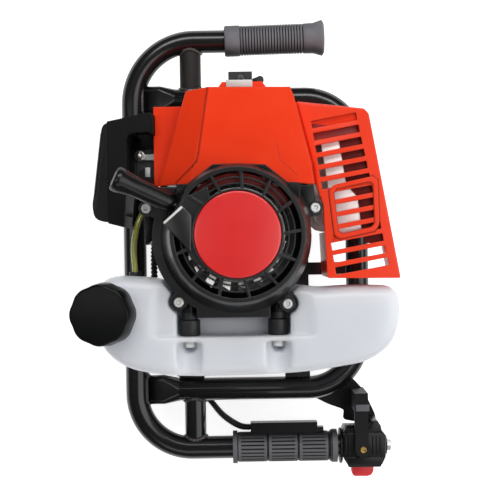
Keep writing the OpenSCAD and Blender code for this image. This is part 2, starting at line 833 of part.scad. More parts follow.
// Ignition coil at the rim of the flywheel.
module ignition_coil() {
    color("black") {
        box(-20, 20, flywheel_r + 12, flywheel_r + 25.8, case_z1 + 6, case_z1 + 22);
        for (s = [-1, 1])
            box(s * 15 - 4, s * 15 + 4, flywheel_r + 2, flywheel_r + 13, case_z1 + 8, case_z1 + 20);
    }
}

// Flywheel with cooling blades and starter cup.
module flywheel() {
    z = case_z1 + 5;
    color("gray") difference() {
        union() {
            cyl_z(2 * flywheel_r - 24, z, z + 8);
            cyl_z(2 * flywheel_r, z, z + 4);
            cyl_z(40, z, z + 21);
            cyl_z(32, z + 20, fan_z1 + 8);
            for (i = [0:15])
                rotate(22.5 * i) translate([36, -1.5, z]) cube([flywheel_r - 37, 3, 20]);
        }
        cyl_z(2 * crank_r + 0.04, z - 1, fan_z1 + 9);
        for (i = [0:2])
            rotate(60 * i) box(-18, 18, -3, 3, fan_z1 + 3, fan_z1 + 9);
    }
}

module fan_plan() {
    circle(r = dome_r + 1);
    intersection() {
        translate([fan_x, -2]) circle(r = fan_r);
        translate([-120, -120]) square([240, 169]);
    }
    translate([fan_x - fan_r + 3, 0]) square([2 * fan_r - 4, 49]);
    polygon([[-46, 44], [48, 44], [48, 51.6], [27.2, 68.6], [-23.6, 69.7], [-46, 51.6]]);
    translate([post_spots[0] + 8, -2 - fan_r - 1]) square([post_spots[1] - post_spots[0] - 16, 40]);
    for (p = lug_spots) {
        translate(p) circle(r = 8);
        rotate(atan2(p.y, p.x)) translate([0, -7]) square([norm(p), 14]);
    }
}

// Fan housing round the flywheel with seats for starter and tank posts.
module fan_housing() {
    color("black") difference() {
        union() {
            translate([0, 0, case_z1]) linear_extrude(fan_h) fan_plan();
            for (x = post_spots)
                translate([x, 0, post_z]) cyl_y(15, -80, -55);
        }
        intersection() {
            translate([fan_x, -2, 0]) cyl_z(2 * fan_r - 7, case_z1 + 3, fan_z1 + 1);
            union() {
                box(-120, 120, -120, 46, case_z1, fan_z1 + 2);
                cyl_z(2 * dome_r - 4, case_z1, fan_z1 + 2);
            }
        }
        cyl_z(56, case_z1 - 1, case_z1 + 4);
        box(-46, 46, 49, 90, case_z1 - 1, fan_z1 + 1);
        for (p = lug_spots)
            translate(p) cyl_z(5.4, fan_z1 - 16, fan_z1 + 1);
        for (x = post_spots)
            translate([x, 0, post_z]) cyl_y(6.4, -81, -60);
    }
}

// Starter cover: dome with bladed grille, rope outlet and reel axle.
module starter_housing() {
    color("black") {
        difference() {
            union() {
                translate([0, 0, fan_z1]) linear_extrude(5) fan_plan();
                intersection() {
                    translate([0, 0, fan_z1 + 4]) linear_extrude(dome_h) fan_plan();
                    union() {
                        translate([0, 0, fan_z1 + 4]) cylinder(r1 = dome_r + 10, r2 = dome_r + 6, h = 9);
                        translate([0, 0, fan_z1 + 12])
                            cylinder(r1 = dome_r + 6, r2 = dome_r, h = dome_h - 18);
                        translate([0, 0, dome_z - 6]) cylinder(r1 = dome_r, r2 = dome_r - 3, h = 6);
                    }
                }
                translate(pull_root) rotate([0, -pull_rise, pull_dir]) box(-14, 1, -13, 13, -11, 9);
            }
            translate([0, 0, fan_z1 - 1]) cylinder(r1 = dome_r - 3, r2 = dome_r - 6, h = dome_h - 5);
            cyl_z(2 * dome_r - 14, fan_z1 + 20, dome_z + 1);
            for (p = lug_spots)
                translate(p) {
                    cyl_z(5.4, fan_z1 - 1, fan_z1 + 6);
                    cyl_z(12, fan_z1 + 5, fan_z1 + 22);
                }
            translate(pull_root) rotate([0, -pull_rise, pull_dir]) {
                cyl_x(5, -30, 3);
                box(1, 40, -15, 15, -15, 30);
            }
        }
        for (i = [0:blade_count - 1])
            rotate(360 * i / blade_count) translate([badge_r - 1, -1.5, dome_z - 9]) rotate(9)
                cube([dome_r - badge_r - 4, 3, 8]);
        translate([0, 0, dome_z - 6]) linear_extrude(4.5)
            polygon([[-28, 46], [-52, 36], [-65, 17], [-44, -24], [-30, -34], [-20, 0]]);
        for (r = [badge_r + 7, badge_r + 13])
            difference() {
                cyl_z(2 * r + 2, dome_z - 8, dome_z - 5);
                cyl_z(2 * r - 1, dome_z - 9, dome_z - 4);
            }
        difference() {
            cyl_z(2 * badge_r + 4, dome_z - 6, dome_z + 2);
            cyl_z(2 * badge_r + 2 * fit_gap, dome_z - 1, dome_z + 3);
        }
        cyl_z(12, fan_z1 + 13, dome_z - 5);
    }
}

// Round badge plate, left bare.
module starter_badge() {
    color("red") cyl_z(2 * badge_r, dome_z - 1, dome_z - 1 + badge_t);
}

// Four screws of the starter cover.
module starter_screws() {
    color("silver") for (p = lug_spots)
        translate(p) {
            cyl_z(5, fan_z1 - 14, fan_z1 + 6);
            difference() {
                cyl_z(10, fan_z1 + 5, fan_z1 + 10);
                translate([0, 0, fan_z1 + 8]) cylinder(d = 5, h = 4, $fn = 6);
            }
        }
}

// Rope reel of the recoil starter.
module rope_reel() {
    z = fan_z1 + 15;
    color("white") difference() {
        union() {
            cyl_z(60, z, z + 14);
            cyl_z(92, z, z + 2.5);
            cyl_z(92, z + 11.5, z + 14);
        }
        cyl_z(12 + 2 * run_gap, z - 1, z + 15);
    }
}

// Flat recoil spring between reel and cover.
module recoil_spring() {
    z = fan_z1 + 30;
    turns = 6;
    steps = turns * 12;
    inner = [for (i = [0:steps]) (9 + 24 * i / steps) * [cos(30 * i), sin(30 * i)]];
    outer = [for (i = [steps:-1:0]) (10.2 + 24 * i / steps) * [cos(30 * i), sin(30 * i)]];
    color("silver") translate([0, 0, z]) linear_extrude(dome_h - 36 - 0.4) polygon(concat(inner, outer));
}

// Starter rope from reel to handle knot.
module starter_rope() {
    color("white") translate(pull_root) rotate([0, -pull_rise, pull_dir]) cyl_x(4, -17, pull_len - 6);
}

// Barrel handle of the starter rope.
module starter_handle() {
    r = pull_d / 2;
    profile = [[3, 2.5], [3, r - 2], [5, r], [pull_len * 0.6, r], [pull_len * 0.84, r + 1.5],
        [pull_len * 0.9, r + 3.5], [pull_len - 3, r + 3.5], [pull_len, r + 1], [pull_len, 5],
        [pull_len - 8, 5], [pull_len - 8, 2.5]];
    color("black") translate(pull_root) rotate([0, -pull_rise, pull_dir]) rotate([0, 90, 0])
        rotate_extrude() polygon([for (p = profile) [p.y, p.x]]);
}

module shroud_form(t, drop) {
    outline = [[-80, 51], [-47, 52], [-24, 70.6], [27.5, 69.5], [49, 52], [77, 49.5], [74, 69], [58, 136],
        [54, 147], [-28, 148], [-51, 146]];
    difference() {
        translate([0, 0, 108 - drop]) linear_extrude(shroud_z - 108 + drop - t) polygon(inset(outline, t));
        translate([-28 - t * 0.3, 147, shroud_z - t]) rotate([0, 0, -11]) rotate([0, -30, 0])
            box(-120, 0, -150, 60, 0, 60);
    }
}

// Lip of the shroud over the spark plug.
module plug_hood(t, z0, z1) {
    translate([0, 0, z0]) linear_extrude(z1 - z0)
        polygon([[t - 20, 146.5], [32 - t, 146.5], [26 - t, 154.5 - t], [t - 14, 154.5 - t]]);
}

// Red engine shroud over cylinder and fan outlet, on two bosses that stand on the fins.
module engine_shroud() {
    color("red") {
        difference() {
            union() {
                shroud_form(0, 0);
                box(-86, -44, 52, 134, case_mid + 26, case_mid + 29);
            }
            shroud_form(cover_t, 20);
            box(plug_x - 20, plug_x + 22, 130, 160, 100, fan_z1 - 12);
            box(40, 90, 40, 118, 90, 168);
            box(-82.9, -30, 46, 104, 90, case_mid + 25.9);
            box(-26, 30, 40, 78, 90, fan_z1);
            box(-52, 54, 40, 78, 90, case_z1 + 2);
            cyl_z(2 * dome_r + 5, 90, shroud_z + 1);
        }
        for (x = [-20, 34])
            translate([x, head_y - 6, 0]) cyl_z(10, case_mid + fin_top, shroud_z - 1);
        difference() {
            plug_hood(0, shroud_z - 22, shroud_z - 10);
            plug_hood(cover_t, shroud_z - 23, shroud_z - 10 - cover_t);
        }
    }
}

// Pressed muffler on the exhaust stub.
module muffler() {
    color("silver") translate([stub_x, 0, case_mid]) {
        difference() {
            union() {
                box(0, 3, 58, 90, -17, 17);
                translate([0, 74, 0]) cyl_x(24, 2, 17);
                translate([16, 0, 0]) linear_extrude(2 * muffler_top, center = true)
                    polygon(soften([[2, 104], [0, 60], [14, 8], [62, 4], [68, 30], [52, 110], [10, 112]],
                        10, 3));
                translate([16, 0, 0]) linear_extrude(3, center = true)
                    polygon(soften([[-2, 108], [-4, 60], [11, 4], [65, 0], [72, 30], [55, 114], [8, 116]],
                        10, 3));
            }
            translate([0, 74, 0]) cyl_x(18, -1, 18);
            translate([18, 0, 0]) linear_extrude(2 * muffler_top - 4, center = true)
                polygon(soften([[3, 100], [1, 60], [15, 12], [57, 8], [62, 30], [47, 106], [10, 108]],
                    10, 3));
        }
    }
}

module guard_form(t, drop) {
    outline = [[60.5, 134], [76.5, 70], [80, 47], [86, 29], [89, -44.5], [163, -45.5], [133.5, 120],
        [128, 126]];
    translate([0, 0, 104 - drop]) linear_extrude(guard_z - 104 + drop - t) polygon(inset(outline, t));
}

function slot_spot(i) = [98, 114] + [26, -147] * i / (slot_count - 1);

// Lines of the band that runs round the middle slots.
band_line = [[93.9, 46.1], [99.2, -3.3], [139.5, 5.1], [138.3, 55.4]];

// How far a slot inside the band is held back at its left end.
function slot_trim(i) = slot_spot(i).y < band_line[0].y && slot_spot(i).y > band_line[1].y ? 9 : 0;

// Slotted red guard over the muffler, on two bosses under its bars. The first two slots are blind.
module muffler_guard() {
    color("red") {
        difference() {
            guard_form(0, 0);
            guard_form(cover_t, 20);
            box(50, 92, 2, 126, 90, guard_z - 10);
            for (i = [0:slot_count - 1])
                let (f = i / (slot_count - 1), trim = slot_trim(i), floor_z = i < 2 ? cover_t / 2 : 10)
                    translate(slot_spot(i)) rotate(10) translate([trim - 23 - 4 * f, -slot_h / 2, guard_z - floor_z])
                        cube([46 + 8 * f - trim, slot_h, 20]);
            for (i = [0:6])
                translate([140, 100 - 20 * i, 120]) cube([40, 9, 46]);
        }
        translate([0, 0, guard_z - cover_t]) linear_extrude(cover_t + band_h) difference() {
            polygon(soften(inset(band_line, -2.5), 9, 4));
            polygon(soften(inset(band_line, 2.5), 6, 4));
        }
        for (i = [floor(slot_count / 5) + 0.5, floor(slot_count / 2) + 0.5])
            translate(slot_spot(i)) cyl_z(5, case_mid + muffler_top, guard_z - 1);
    }
}

// Heat insulating block between cylinder and carburettor.
module insulator_block() {
    color("black") difference() {
        box(carb_x, -stub_x, 58, 90, case_mid - 16, case_mid + 16);
        translate([0, 74, case_mid]) cyl_x(18, carb_x - 1, -stub_x + 1);
    }
}

// Diaphragm carburettor.
module carburettor() {
    x0 = carb_x - carb_len;
    color("silver") translate([0, 0, case_mid]) difference() {
        union() {
            box(x0 + 3, carb_x - 3, 57, 91, -18, 18);
            box(x0, x0 + 4, 60, 88, -15, 15);
            box(carb_x - 4, carb_x, 60, 88, -15, 15);
            translate([x0 + 18, 52, -4]) cyl_y(10, 0, 6);
            translate([x0 + 12, 95, 0]) cyl_y(7, -6, 0);
        }
        translate([0, 74, 0]) cyl_x(18, x0 - 1, carb_x + 1);
        translate([carb_x - 12, 83, 0]) cyl_z(4, 12, 19);
        translate([x0 + 10, 66, 0]) cyl_z(4, 12, 19);
    }
}

// Throttle lever on the carburettor.
module carb_lever() {
    color("silver") translate([carb_x - 12, 83, case_mid]) {
        cyl_z(4 - 2 * run_gap, 13, 20);
        cyl_z(10, 18.4, 21);
        box(-14, 0, -3, 3, 18.4, 21);
        translate([-14, 0, 0]) cyl_z(6, 18.4, 24);
    }
}

// Choke lever on the carburettor.
module choke_lever() {
    color("black") translate([carb_x - carb_len + 10, 66, case_mid]) {
        cyl_z(4 - 2 * run_gap, 13, 20);
        cyl_z(9, 18.4, 21.4);
        box(-3, 3, -14, 0, 18.4, 21.4);
        translate([0, -14, 0]) cyl_z(8, 18.4, 25);
    }
}

// Filter case with the arms that frame the carburettor.
module air_filter_base() {
    x0 = carb_x - carb_len;
    color("black") difference() {
        union() {
            translate([0, 0, box_z0]) linear_extrude(box_z1 - box_z0)
                polygon([[-131, 14], [-116, 10], [x0 - 4, 52], [-87, 52], [-87, 60], [x0 - 4, 62],
                    [x0 - 4, 105], [-87, 106], [-87, 126], [-131, 117]]);
            box(x0 - 5, -84, 57, 110, box_z0, box_z0 + 3);
            box(x0 - 8, x0, 58, 92, case_mid - 18, case_mid + 18);
        }
        box(-132, x0 - 7, 22, 104, box_z0 + 4, box_z1 - 4);
        translate([0, 74, case_mid]) cyl_x(18, x0 - 10, x0 + 1);
        box(x0, -60, 40, 140, box_z0 + 3, case_mid + 28);
        box(x0, -60, 40, 56, box_z0 - 1, case_mid + 28);
    }
}

// Foam filter element.
module air_filter_element() {
    x0 = carb_x - carb_len;
    color("gray") box(-129, x0 - 7.5, 23, 103, box_z0 + 5, box_z1 - 5);
}

// Outer filter cover with slanted side and rounded corners.
module air_filter_cover() {
    color("black") difference() {
        intersection() {
            translate([0, 0, box_z0]) linear_extrude(box_z1 - box_z0)
                polygon(soften([[-100, 14], [-100, 119], [-137, 116.5], [-147.5, 32], [-144, 16]], 12, 4));
            box(-160, -131.3, 0, 130, box_z0 - 1, box_z1 + 1);
        }
        translate([0, 0, box_z0 + 3]) linear_extrude(box_z1 - box_z0 - 6)
            polygon([[-131, 22], [-131, 110], [-134, 110], [-142, 34], [-140, 26]]);
    }
}

// Clear fuel hose from tank grommet to carburettor.
module fuel_hose() {
    path = [[-109, -46, 146], [-109, -34, 146], [-110, -12, 147], [-107, 10, 144], [-99, 32, 136],
        [-91, 46, case_mid - 4], [-90, 52, case_mid - 4]];
    color("yellow") difference() {
        hose(path, hose_od / 2, 10, 26);
        hose(path, hose_od / 2 - 1.4, 8, 26);
    }
}

// Tank sections from left to right: place, lower side, upper side and how far the end is drawn in.
tank_line = [[-144, -86, -66, 10], [-142.5, -98, -59, 4], [-138, -112, -52, 1], [-130, -122, -45, 0],
    [-118, -131, -41, 0], [-104, -136.5, -40, 0], [-84, -140, -41.5, 0], [-70, -141.5, -51, 0],
    [-64, -142, -60, 0], [-43, -143, -62, 0], [8, -142.5, -62, 0], [60, -140.5, -61, 0], [68, -140, -55, 0],
    [92, -136.5, -53, 0], [118, -132.5, -51.5, 0], [130, -129.5, -52.5, 0], [146, -119.5, -55.5, 0],
    [154, -110, -59.5, 1], [159, -95, -65, 4], [161, -85, -71, 10]];

function tank_ring(q, t) =
    let (x = q[0] * (1 - t / 150), y0 = q[1] + t, y1 = q[2] - t, z0 = tank_back_z + q[3] + t,
        z1 = tank_z - q[3] - t, r = min(9, (y1 - y0) * 0.4), s = 0.3 * r)
    [[x, y1, z1 - r], [x, y1 - s, z1 - s], [x, y1 - r, z1], [x, y0 + r, z1], [x, y0 + s, z1 - s],
        [x, y0, z1 - r], [x, y0, z0 + r], [x, y0 + s, z0 + s], [x, y0 + r, z0], [x, y1 - r, z0],
        [x, y1 - s, z0 + s], [x, y1, z0 + r]];

module tank_form(t) {
    skin([for (q = tank_line) tank_ring(q, t)]);
}

function round_at(r, z, n) = [for (k = [0:n - 1]) [r * cos(360 * k / n), r * sin(360 * k / n), z]];

module tank_hollows(t) {
    intersection() {
        skin([round_at(99 + t, case_z1 - 4 - t, 48), round_at(114 + t, tank_z + 1, 48)]);
        box(-130, 130, ledge_y - t, 0, 100, tank_z + 2);
    }
    box(post_spots[0] - 22 - t, post_spots[1] + 22 + t, ledge_y - t, -60, case_z1 - 4 - t, tank_z + 1);
    for (x = post_spots)
        box(x - 9 - t, x + 9 + t, ledge_y - 20 - t, ledge_y - 6 + t, post_z - 10 - t, tank_z + 1);
}

module at_neck() {
    translate(neck_spot) rotate([0, -cap_lean, 0]) children();
}

// Blow-moulded fuel tank with neck, ledge and bolt pockets.
module fuel_tank() {
    color("white") difference() {
        union() {
            difference() {
                tank_form(0);
                tank_hollows(0);
            }
            at_neck() translate([0, 0, -14]) cylinder(d = cap_d - 18, h = 32, $fn = 12);
        }
        difference() {
            tank_form(tank_wall);
            tank_hollows(tank_wall);
        }
        at_neck() translate([0, 0, -22]) cylinder(d = cap_d - 25, h = 41, $fn = 12);
        for (x = post_spots)
            translate([x, 0, post_z]) cyl_y(6.4, ledge_y - 8, ledge_y + 1);
        translate([-109, -50, 146]) rotate([-90, 0, 0]) cylinder(d = hose_od + 6.6, h = 14, $fn = 12);
    }
}

// Lobed fuel cap.
module fuel_cap() {
    color("black") at_neck() difference() {
        union() {
            translate([0, 0, 4]) linear_extrude(19) difference() {
                circle(d = cap_d);
                for (i = [0:7])
                    rotate(45 * i + 22.5) translate([cap_d / 2 + 11, 0]) circle(r = 13);
            }
            translate([0, 0, 22.5]) cylinder(d1 = cap_d - 5, d2 = cap_d - 10, h = 2.5);
        }
        cyl_z(cap_d - 17.4, 3, 19);
    }
}

// Rubber sleeves between posts and tank, and the hose grommet.
module tank_posts() {
    color("black") {
        for (x = post_spots)
            difference() {
                translate([x, 0, post_z]) cyl_y(19.6, ledge_y, -84);
                translate([x, 0, post_z]) cyl_y(6.4, ledge_y - 1, -83);
            }
        difference() {
            translate([-109, 0, 146]) {
                cyl_y(hose_od + 5.6, -50, -39);
                cyl_y(hose_od + 10, -39.6, -36);
            }
            translate([-109, 0, 146]) cyl_y(hose_od + 0.4, -51, -34);
        }
    }
}

// Metal posts and the bolts that hang the tank.
module tank_bolts() {
    color("silver") for (x = post_spots)
        translate([x, 0, post_z]) {
            cyl_y(14, -84, -80);
            cyl_y(6, ledge_y - 7, -62);
            cyl_y(13, ledge_y - 7.5, ledge_y - 6);
            translate([0, ledge_y - 12, 0]) rotate([-90, 0, 0]) cylinder(d = 11, h = 5, $fn = 6);
        }
}

handle_tube();
guard_loop();
frame_struts();
mount_plate();
upper_grip();
lower_grip();
throttle_front();
throttle_rear();
throttle_trigger();
throttle_screws();
stop_switch();
cable_cover();
throttle_conduit();
gearbox_upper();
gearbox_lower();
housing_bolts();
shaft_bearings();
output_shaft();
output_gear();
layshaft_gear();
layshaft_pin();
clutch_housing();
clutch_drum();
clutch_shoes();
crankcase_rear();
crankcase_front();
crankshaft();
connecting_rod();
piston();
engine_cylinder();
spark_plug();
plug_cap();
ignition_lead();
ignition_coil();
flywheel();
fan_housing();
starter_housing();
starter_badge();
starter_screws();
rope_reel();
recoil_spring();
starter_rope();
starter_handle();
engine_shroud();
muffler();
muffler_guard();
insulator_block();
carburettor();
carb_lever();
choke_lever();
air_filter_base();
air_filter_element();
air_filter_cover();
fuel_hose();
fuel_tank();
fuel_cap();
tank_posts();
tank_bolts();
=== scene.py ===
import math
import random

import bmesh
import bpy
from mathutils import Matrix, Vector
from mathutils.geometry import interpolate_bezier


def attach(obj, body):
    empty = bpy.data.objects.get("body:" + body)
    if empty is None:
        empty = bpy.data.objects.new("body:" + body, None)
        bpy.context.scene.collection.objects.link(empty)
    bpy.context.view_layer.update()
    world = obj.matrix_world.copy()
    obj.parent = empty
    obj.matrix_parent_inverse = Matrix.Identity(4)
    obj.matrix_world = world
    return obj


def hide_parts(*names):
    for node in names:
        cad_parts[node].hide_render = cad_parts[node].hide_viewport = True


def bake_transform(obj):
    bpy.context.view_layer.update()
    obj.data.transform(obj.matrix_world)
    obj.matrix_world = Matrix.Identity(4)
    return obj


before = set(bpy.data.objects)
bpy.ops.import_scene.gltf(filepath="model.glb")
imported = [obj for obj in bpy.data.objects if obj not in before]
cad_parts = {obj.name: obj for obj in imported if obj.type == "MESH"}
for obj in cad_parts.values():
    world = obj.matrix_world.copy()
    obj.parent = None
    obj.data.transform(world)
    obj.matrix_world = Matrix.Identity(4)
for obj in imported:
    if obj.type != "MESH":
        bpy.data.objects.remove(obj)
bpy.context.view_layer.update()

# Studio: a pale seamless floor just below the end of the drill shaft and four broad softboxes round
# the machine, none of them overhead. The camera hangs straight above, as in the picture.
floor_z, floor_half = -0.0455, 40
floor_mesh = bmesh.new()
bmesh.ops.create_grid(floor_mesh, x_segments=1, y_segments=1, size=floor_half,
                      matrix=Matrix.Translation((0, 0, floor_z)))
floor_data = bpy.data.meshes.new("studio_floor")
floor_mesh.to_mesh(floor_data)
floor_mesh.free()
studio_floor = bpy.data.objects.new("studio_floor", floor_data)
bpy.context.scene.collection.objects.link(studio_floor)
floor_paper = bpy.data.materials.new("floor_paper")
floor_paper.use_nodes = True
paper = floor_paper.node_tree.nodes["Principled BSDF"]
paper.inputs["Base Color"].default_value = (0.97, 0.97, 0.97, 1)
paper.inputs["Roughness"].default_value = 0.9
paper.inputs["Specular IOR Level"].default_value = 0.1
paper.inputs["Emission Color"].default_value = (1, 1, 1, 1)
paper.inputs["Emission Strength"].default_value = 0.62
floor_data.materials.append(floor_paper)


def softbox(name, place, width, depth, power):
    """A rectangular lamp that is turned to the middle of the machine."""
    light = bpy.data.lights.new(name, "AREA")
    light.shape = "RECTANGLE"
    light.size, light.size_y, light.energy = width, depth, power
    lamp = bpy.data.objects.new(name, light)
    bpy.context.scene.collection.objects.link(lamp)
    lamp.location = place
    lamp.rotation_euler = (Vector((0, 0, 0.1)) - Vector(place)).to_track_quat("-Z", "Y").to_euler()


softbox("softbox_back", (0.1, 1.05, 1.5), width=1.5, depth=0.45, power=16.5)
softbox("softbox_right", (1.1, -0.1, 1.45), width=1.2, depth=1.8, power=16)
softbox("softbox_front", (0.1, -1.2, 1.4), width=1.6, depth=0.6, power=4.5)
softbox("softbox_left", (-1.1, 0.1, 1.8), width=0.5, depth=1.4, power=4)
studio = bpy.data.worlds.new("studio")
studio.use_nodes = True
studio.node_tree.nodes["Background"].inputs["Color"].default_value = (1, 1, 1, 1)
studio.node_tree.nodes["Background"].inputs["Strength"].default_value = 0.13
bpy.context.scene.world = studio
bpy.context.scene.view_settings.view_transform = "Standard"

camera_data = bpy.data.cameras.new("camera")
camera_data.angle = math.radians(28.8)
camera = bpy.data.objects.new("camera", camera_data)
bpy.context.scene.collection.objects.link(camera)
camera.location = (0.0115, -0.015, 1.165)
camera.rotation_euler = (0, 0, math.radians(-0.9))
bpy.context.scene.camera = camera

# Gearbox: two halves cast in aluminium and screwed together, with the clutch bell on top. The sand
# leaves a coarse skin, and the edges are rubbed bright. Shafts, gears and clutch inside are of steel.


class Wire:
    """One output of a material's nodes. Arithmetic on it adds Math nodes."""

    def __init__(self, tree, socket=None):
        self.tree, self.socket = tree, socket

    def node(self, kind, settings=None, sockets=None, out=0):
        made = self.tree.nodes.new("ShaderNode" + kind)
        for key, value in (settings or {}).items():
            setattr(made, key, value)
        for key, value in (sockets or {}).items():
            if isinstance(value, Wire):
                self.tree.links.new(made.inputs[key], value.socket)
            else:
                made.inputs[key].default_value = value
        return Wire(self.tree, made.outputs[out])

    def feed(self, shader, key):
        self.tree.links.new(shader.inputs[key], self.socket)

    def math(self, operation, a, b=0, clamp=False):
        return self.node("Math", {"operation": operation, "use_clamp": clamp}, {0: a, 1: b})

    def vector(self, operation, sockets, out=0):
        return self.node("VectorMath", {"operation": operation}, sockets, out)

    def mix(self, factor, first, second):
        return self.node("Mix", {"data_type": "RGBA"}, {0: factor, 6: first, 7: second}, 2)

    def noise(self, scale, detail, roughness=0.5):
        sockets = {"Vector": self, "Scale": scale, "Detail": detail, "Roughness": roughness}
        return self.node("TexNoise", {}, sockets)

    def __add__(self, other):
        return self.math("ADD", self, other)

    def __sub__(self, other):
        return self.math("SUBTRACT", self, other)

    def __rsub__(self, other):
        return self.math("SUBTRACT", other, self)

    def __mul__(self, other):
        return self.math("MULTIPLY", self, other)

    __radd__, __rmul__ = __add__, __mul__


def tint(red, green, blue):
    """A display colour of 0 to 255 as linear light, with full alpha."""
    parts = [c / 255 / 12.92 if c <= 10 else ((c / 255 + 0.055) / 1.055) ** 2.4 for c in (red, green, blue)]
    return (*parts, 1)


def bare_finish(name, sockets):
    """A material with constant sockets, its shader, and a wire that carries Object coordinates."""
    made = bpy.data.materials.new(name)
    made.use_nodes = True
    shader = made.node_tree.nodes["Principled BSDF"]
    for key, value in sockets.items():
        shader.inputs[key].default_value = value
    return made, shader, Wire(made.node_tree).node("TexCoord", out="Object")


def surface(name, dark, light, worn_and_sheen, rough, grain, depth, soft, sockets=None, patch=25, grooves=()):
    """A finish that drifts from dark to light in patches and is lighter along edges of a soft radius, partly real
    wear and partly a painted edge highlight, with a fine grain of a given scale and depth. Grooves are lines
    pressed into it, seen from above, darkened with painted shade."""
    made, shader, place = bare_finish(name, sockets or {})
    drift = place.noise(patch, 5.0, 0.6)
    rounded = place.node("Bevel", {"samples": 4}, {"Radius": soft})
    true = place.node("NewGeometry", out="Normal")
    edge = 1 - place.vector("DOT_PRODUCT", {0: rounded, 1: true}, "Value")
    # Lighter along edges: partly real rubbing, partly a painted edge highlight.
    rubbed_and_sheen = place.math("MULTIPLY", edge, drift * 5, True)
    tone = place.mix(drift, tint(*dark), tint(*light))
    tone = place.mix(rubbed_and_sheen, tone, tint(*worn_and_sheen))
    (rough * 0.8 + drift * rough * 0.4).feed(shader, "Roughness")
    height = place.noise(grain, 3.0)
    groove_shade, groove_depth = tint(60, 8, 4), 6
    for line, width, strength in grooves:
        flat = place.vector("MULTIPLY", {0: place, 1: (1, 1, 0)})
        for a, b in zip(line, line[1:]):
            run = Vector((b[0] - a[0], b[1] - a[1], 0))
            offset = place.vector("SUBTRACT", {0: flat, 1: (*a, 0)})
            share = place.vector("DOT_PRODUCT", {0: offset, 1: run / run.length_squared}, "Value")
            near = place.vector("SCALE", {0: run, "Scale": place.math("ADD", share, 0, True)})
            gap = place.vector("DISTANCE", {0: offset, 1: near}, "Value")
            pressed = place.math("SUBTRACT", 1, gap * (1 / width), True)
            tone = place.mix(pressed * strength, tone, groove_shade)
            height = height - pressed * groove_depth
    tone.feed(shader, "Base Color")
    place.node("Bump", {}, {"Strength": 0.35, "Distance": depth, "Height": height, "Normal": rounded}).feed(
        shader, "Normal")
    return made


def dress(material, *nodes):
    """Give CAD nodes one finish."""
    for node in nodes:
        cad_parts[node].data.materials.clear()
        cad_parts[node].data.materials.append(material)


cast_aluminium = surface("cast_aluminium", (138, 138, 140), (178, 178, 180), (212, 212, 212),
                         rough=0.5, grain=700, depth=0.0004, soft=0.0012, sockets={"Metallic": 0.9})
dress(cast_aluminium, "gearbox_upper", "gearbox_lower", "clutch_housing")
bright_steel = surface("bright_steel", (168, 167, 164), (206, 205, 202), (226, 226, 224),
                       rough=0.3, grain=500, depth=0.0001, soft=0.0005, sockets={"Metallic": 1.0})
dress(bright_steel, "housing_bolts", "shaft_bearings", "output_shaft", "output_gear", "layshaft_gear",
      "layshaft_pin", "clutch_drum", "clutch_shoes")

# Tube frame: a C-shaped operator handle, a guard loop with pressed ends, two struts and the engine
# plate, in steel, welded and stove-enamelled in gloss black with a faint orange peel.
frame_z = 0.065
upper_y, loop_top_y, loop_low_y, lower_y = 0.221, 0.155, -0.171, -0.237
strut_r, strut_x, strut_drop = 0.012, -0.053, 0.0038
black_enamel = surface("black_enamel", (11, 11, 12), (19, 19, 21), (36, 36, 38),
                       rough=0.24, grain=420, depth=0.0001, soft=0.001,
                       sockets={"Coat Weight": 0.25, "Coat Roughness": 0.08, "Specular IOR Level": 0.35})
dress(black_enamel, "handle_tube", "mount_plate")


def keep(shape, name, material, body, slot, *nodes, crease=35):
    """Make a bmesh a piece of one finish that rides on a body and stands for CAD nodes."""
    data = bpy.data.meshes.new(name)
    shape.to_mesh(data)
    shape.free()
    data.materials.append(material)
    data.shade_smooth()
    data.set_sharp_from_angle(angle=math.radians(crease))
    piece = bpy.data.objects.new(name, data)
    bpy.context.scene.collection.objects.link(piece)
    if body:
        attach(piece, body)
    if nodes:
        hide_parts(*nodes)
    return piece


def copied(node, flat=0.5):
    """A CAD node's shape with its triangles joined, and faces that turn less than flat degrees made whole."""
    shape = bmesh.new()
    shape.from_mesh(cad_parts[node].data)
    bmesh.ops.remove_doubles(shape, verts=shape.verts, dist=1e-5)
    bmesh.ops.dissolve_limit(shape, angle_limit=math.radians(flat), verts=shape.verts, edges=shape.edges)
    return shape


keep(copied("guard_loop"), "loop_tube", black_enamel, "frame", "frame_paint", "guard_loop", crease=50)


def swept(path, radii, sides):
    """A round bar along points: a ring that is extruded, moved, turned and scaled from point to point."""
    shape = bmesh.new()
    heading = (path[1] - path[0]).normalized()
    start = Vector((0, 0, 1)).rotation_difference(heading).to_matrix().to_4x4()
    bmesh.ops.create_circle(shape, cap_ends=True, segments=sides, radius=radii[0],
                            matrix=Matrix.Translation(path[0]) @ start)
    rim = list(shape.edges)
    for k in range(1, len(path)):
        grown = bmesh.ops.extrude_edge_only(shape, edges=rim)["geom"]
        ring = [g for g in grown if isinstance(g, bmesh.types.BMVert)]
        rim = [g for g in grown if isinstance(g, bmesh.types.BMEdge) and all(v in ring for v in g.verts)]
        ahead = (path[min(k + 1, len(path) - 1)] - path[k - 1]).normalized()
        bmesh.ops.translate(shape, verts=ring, vec=path[k] - path[k - 1])
        bmesh.ops.rotate(shape, verts=ring, cent=path[k], matrix=heading.rotation_difference(ahead).to_matrix())
        grow = radii[k] / radii[k - 1]
        bmesh.ops.scale(shape, verts=ring, vec=(grow, grow, grow), space=Matrix.Translation(-path[k]))
        heading = ahead
    bmesh.ops.holes_fill(shape, edges=rim, sides=0)
    bmesh.ops.recalc_face_normals(shape, faces=shape.faces)
    return shape


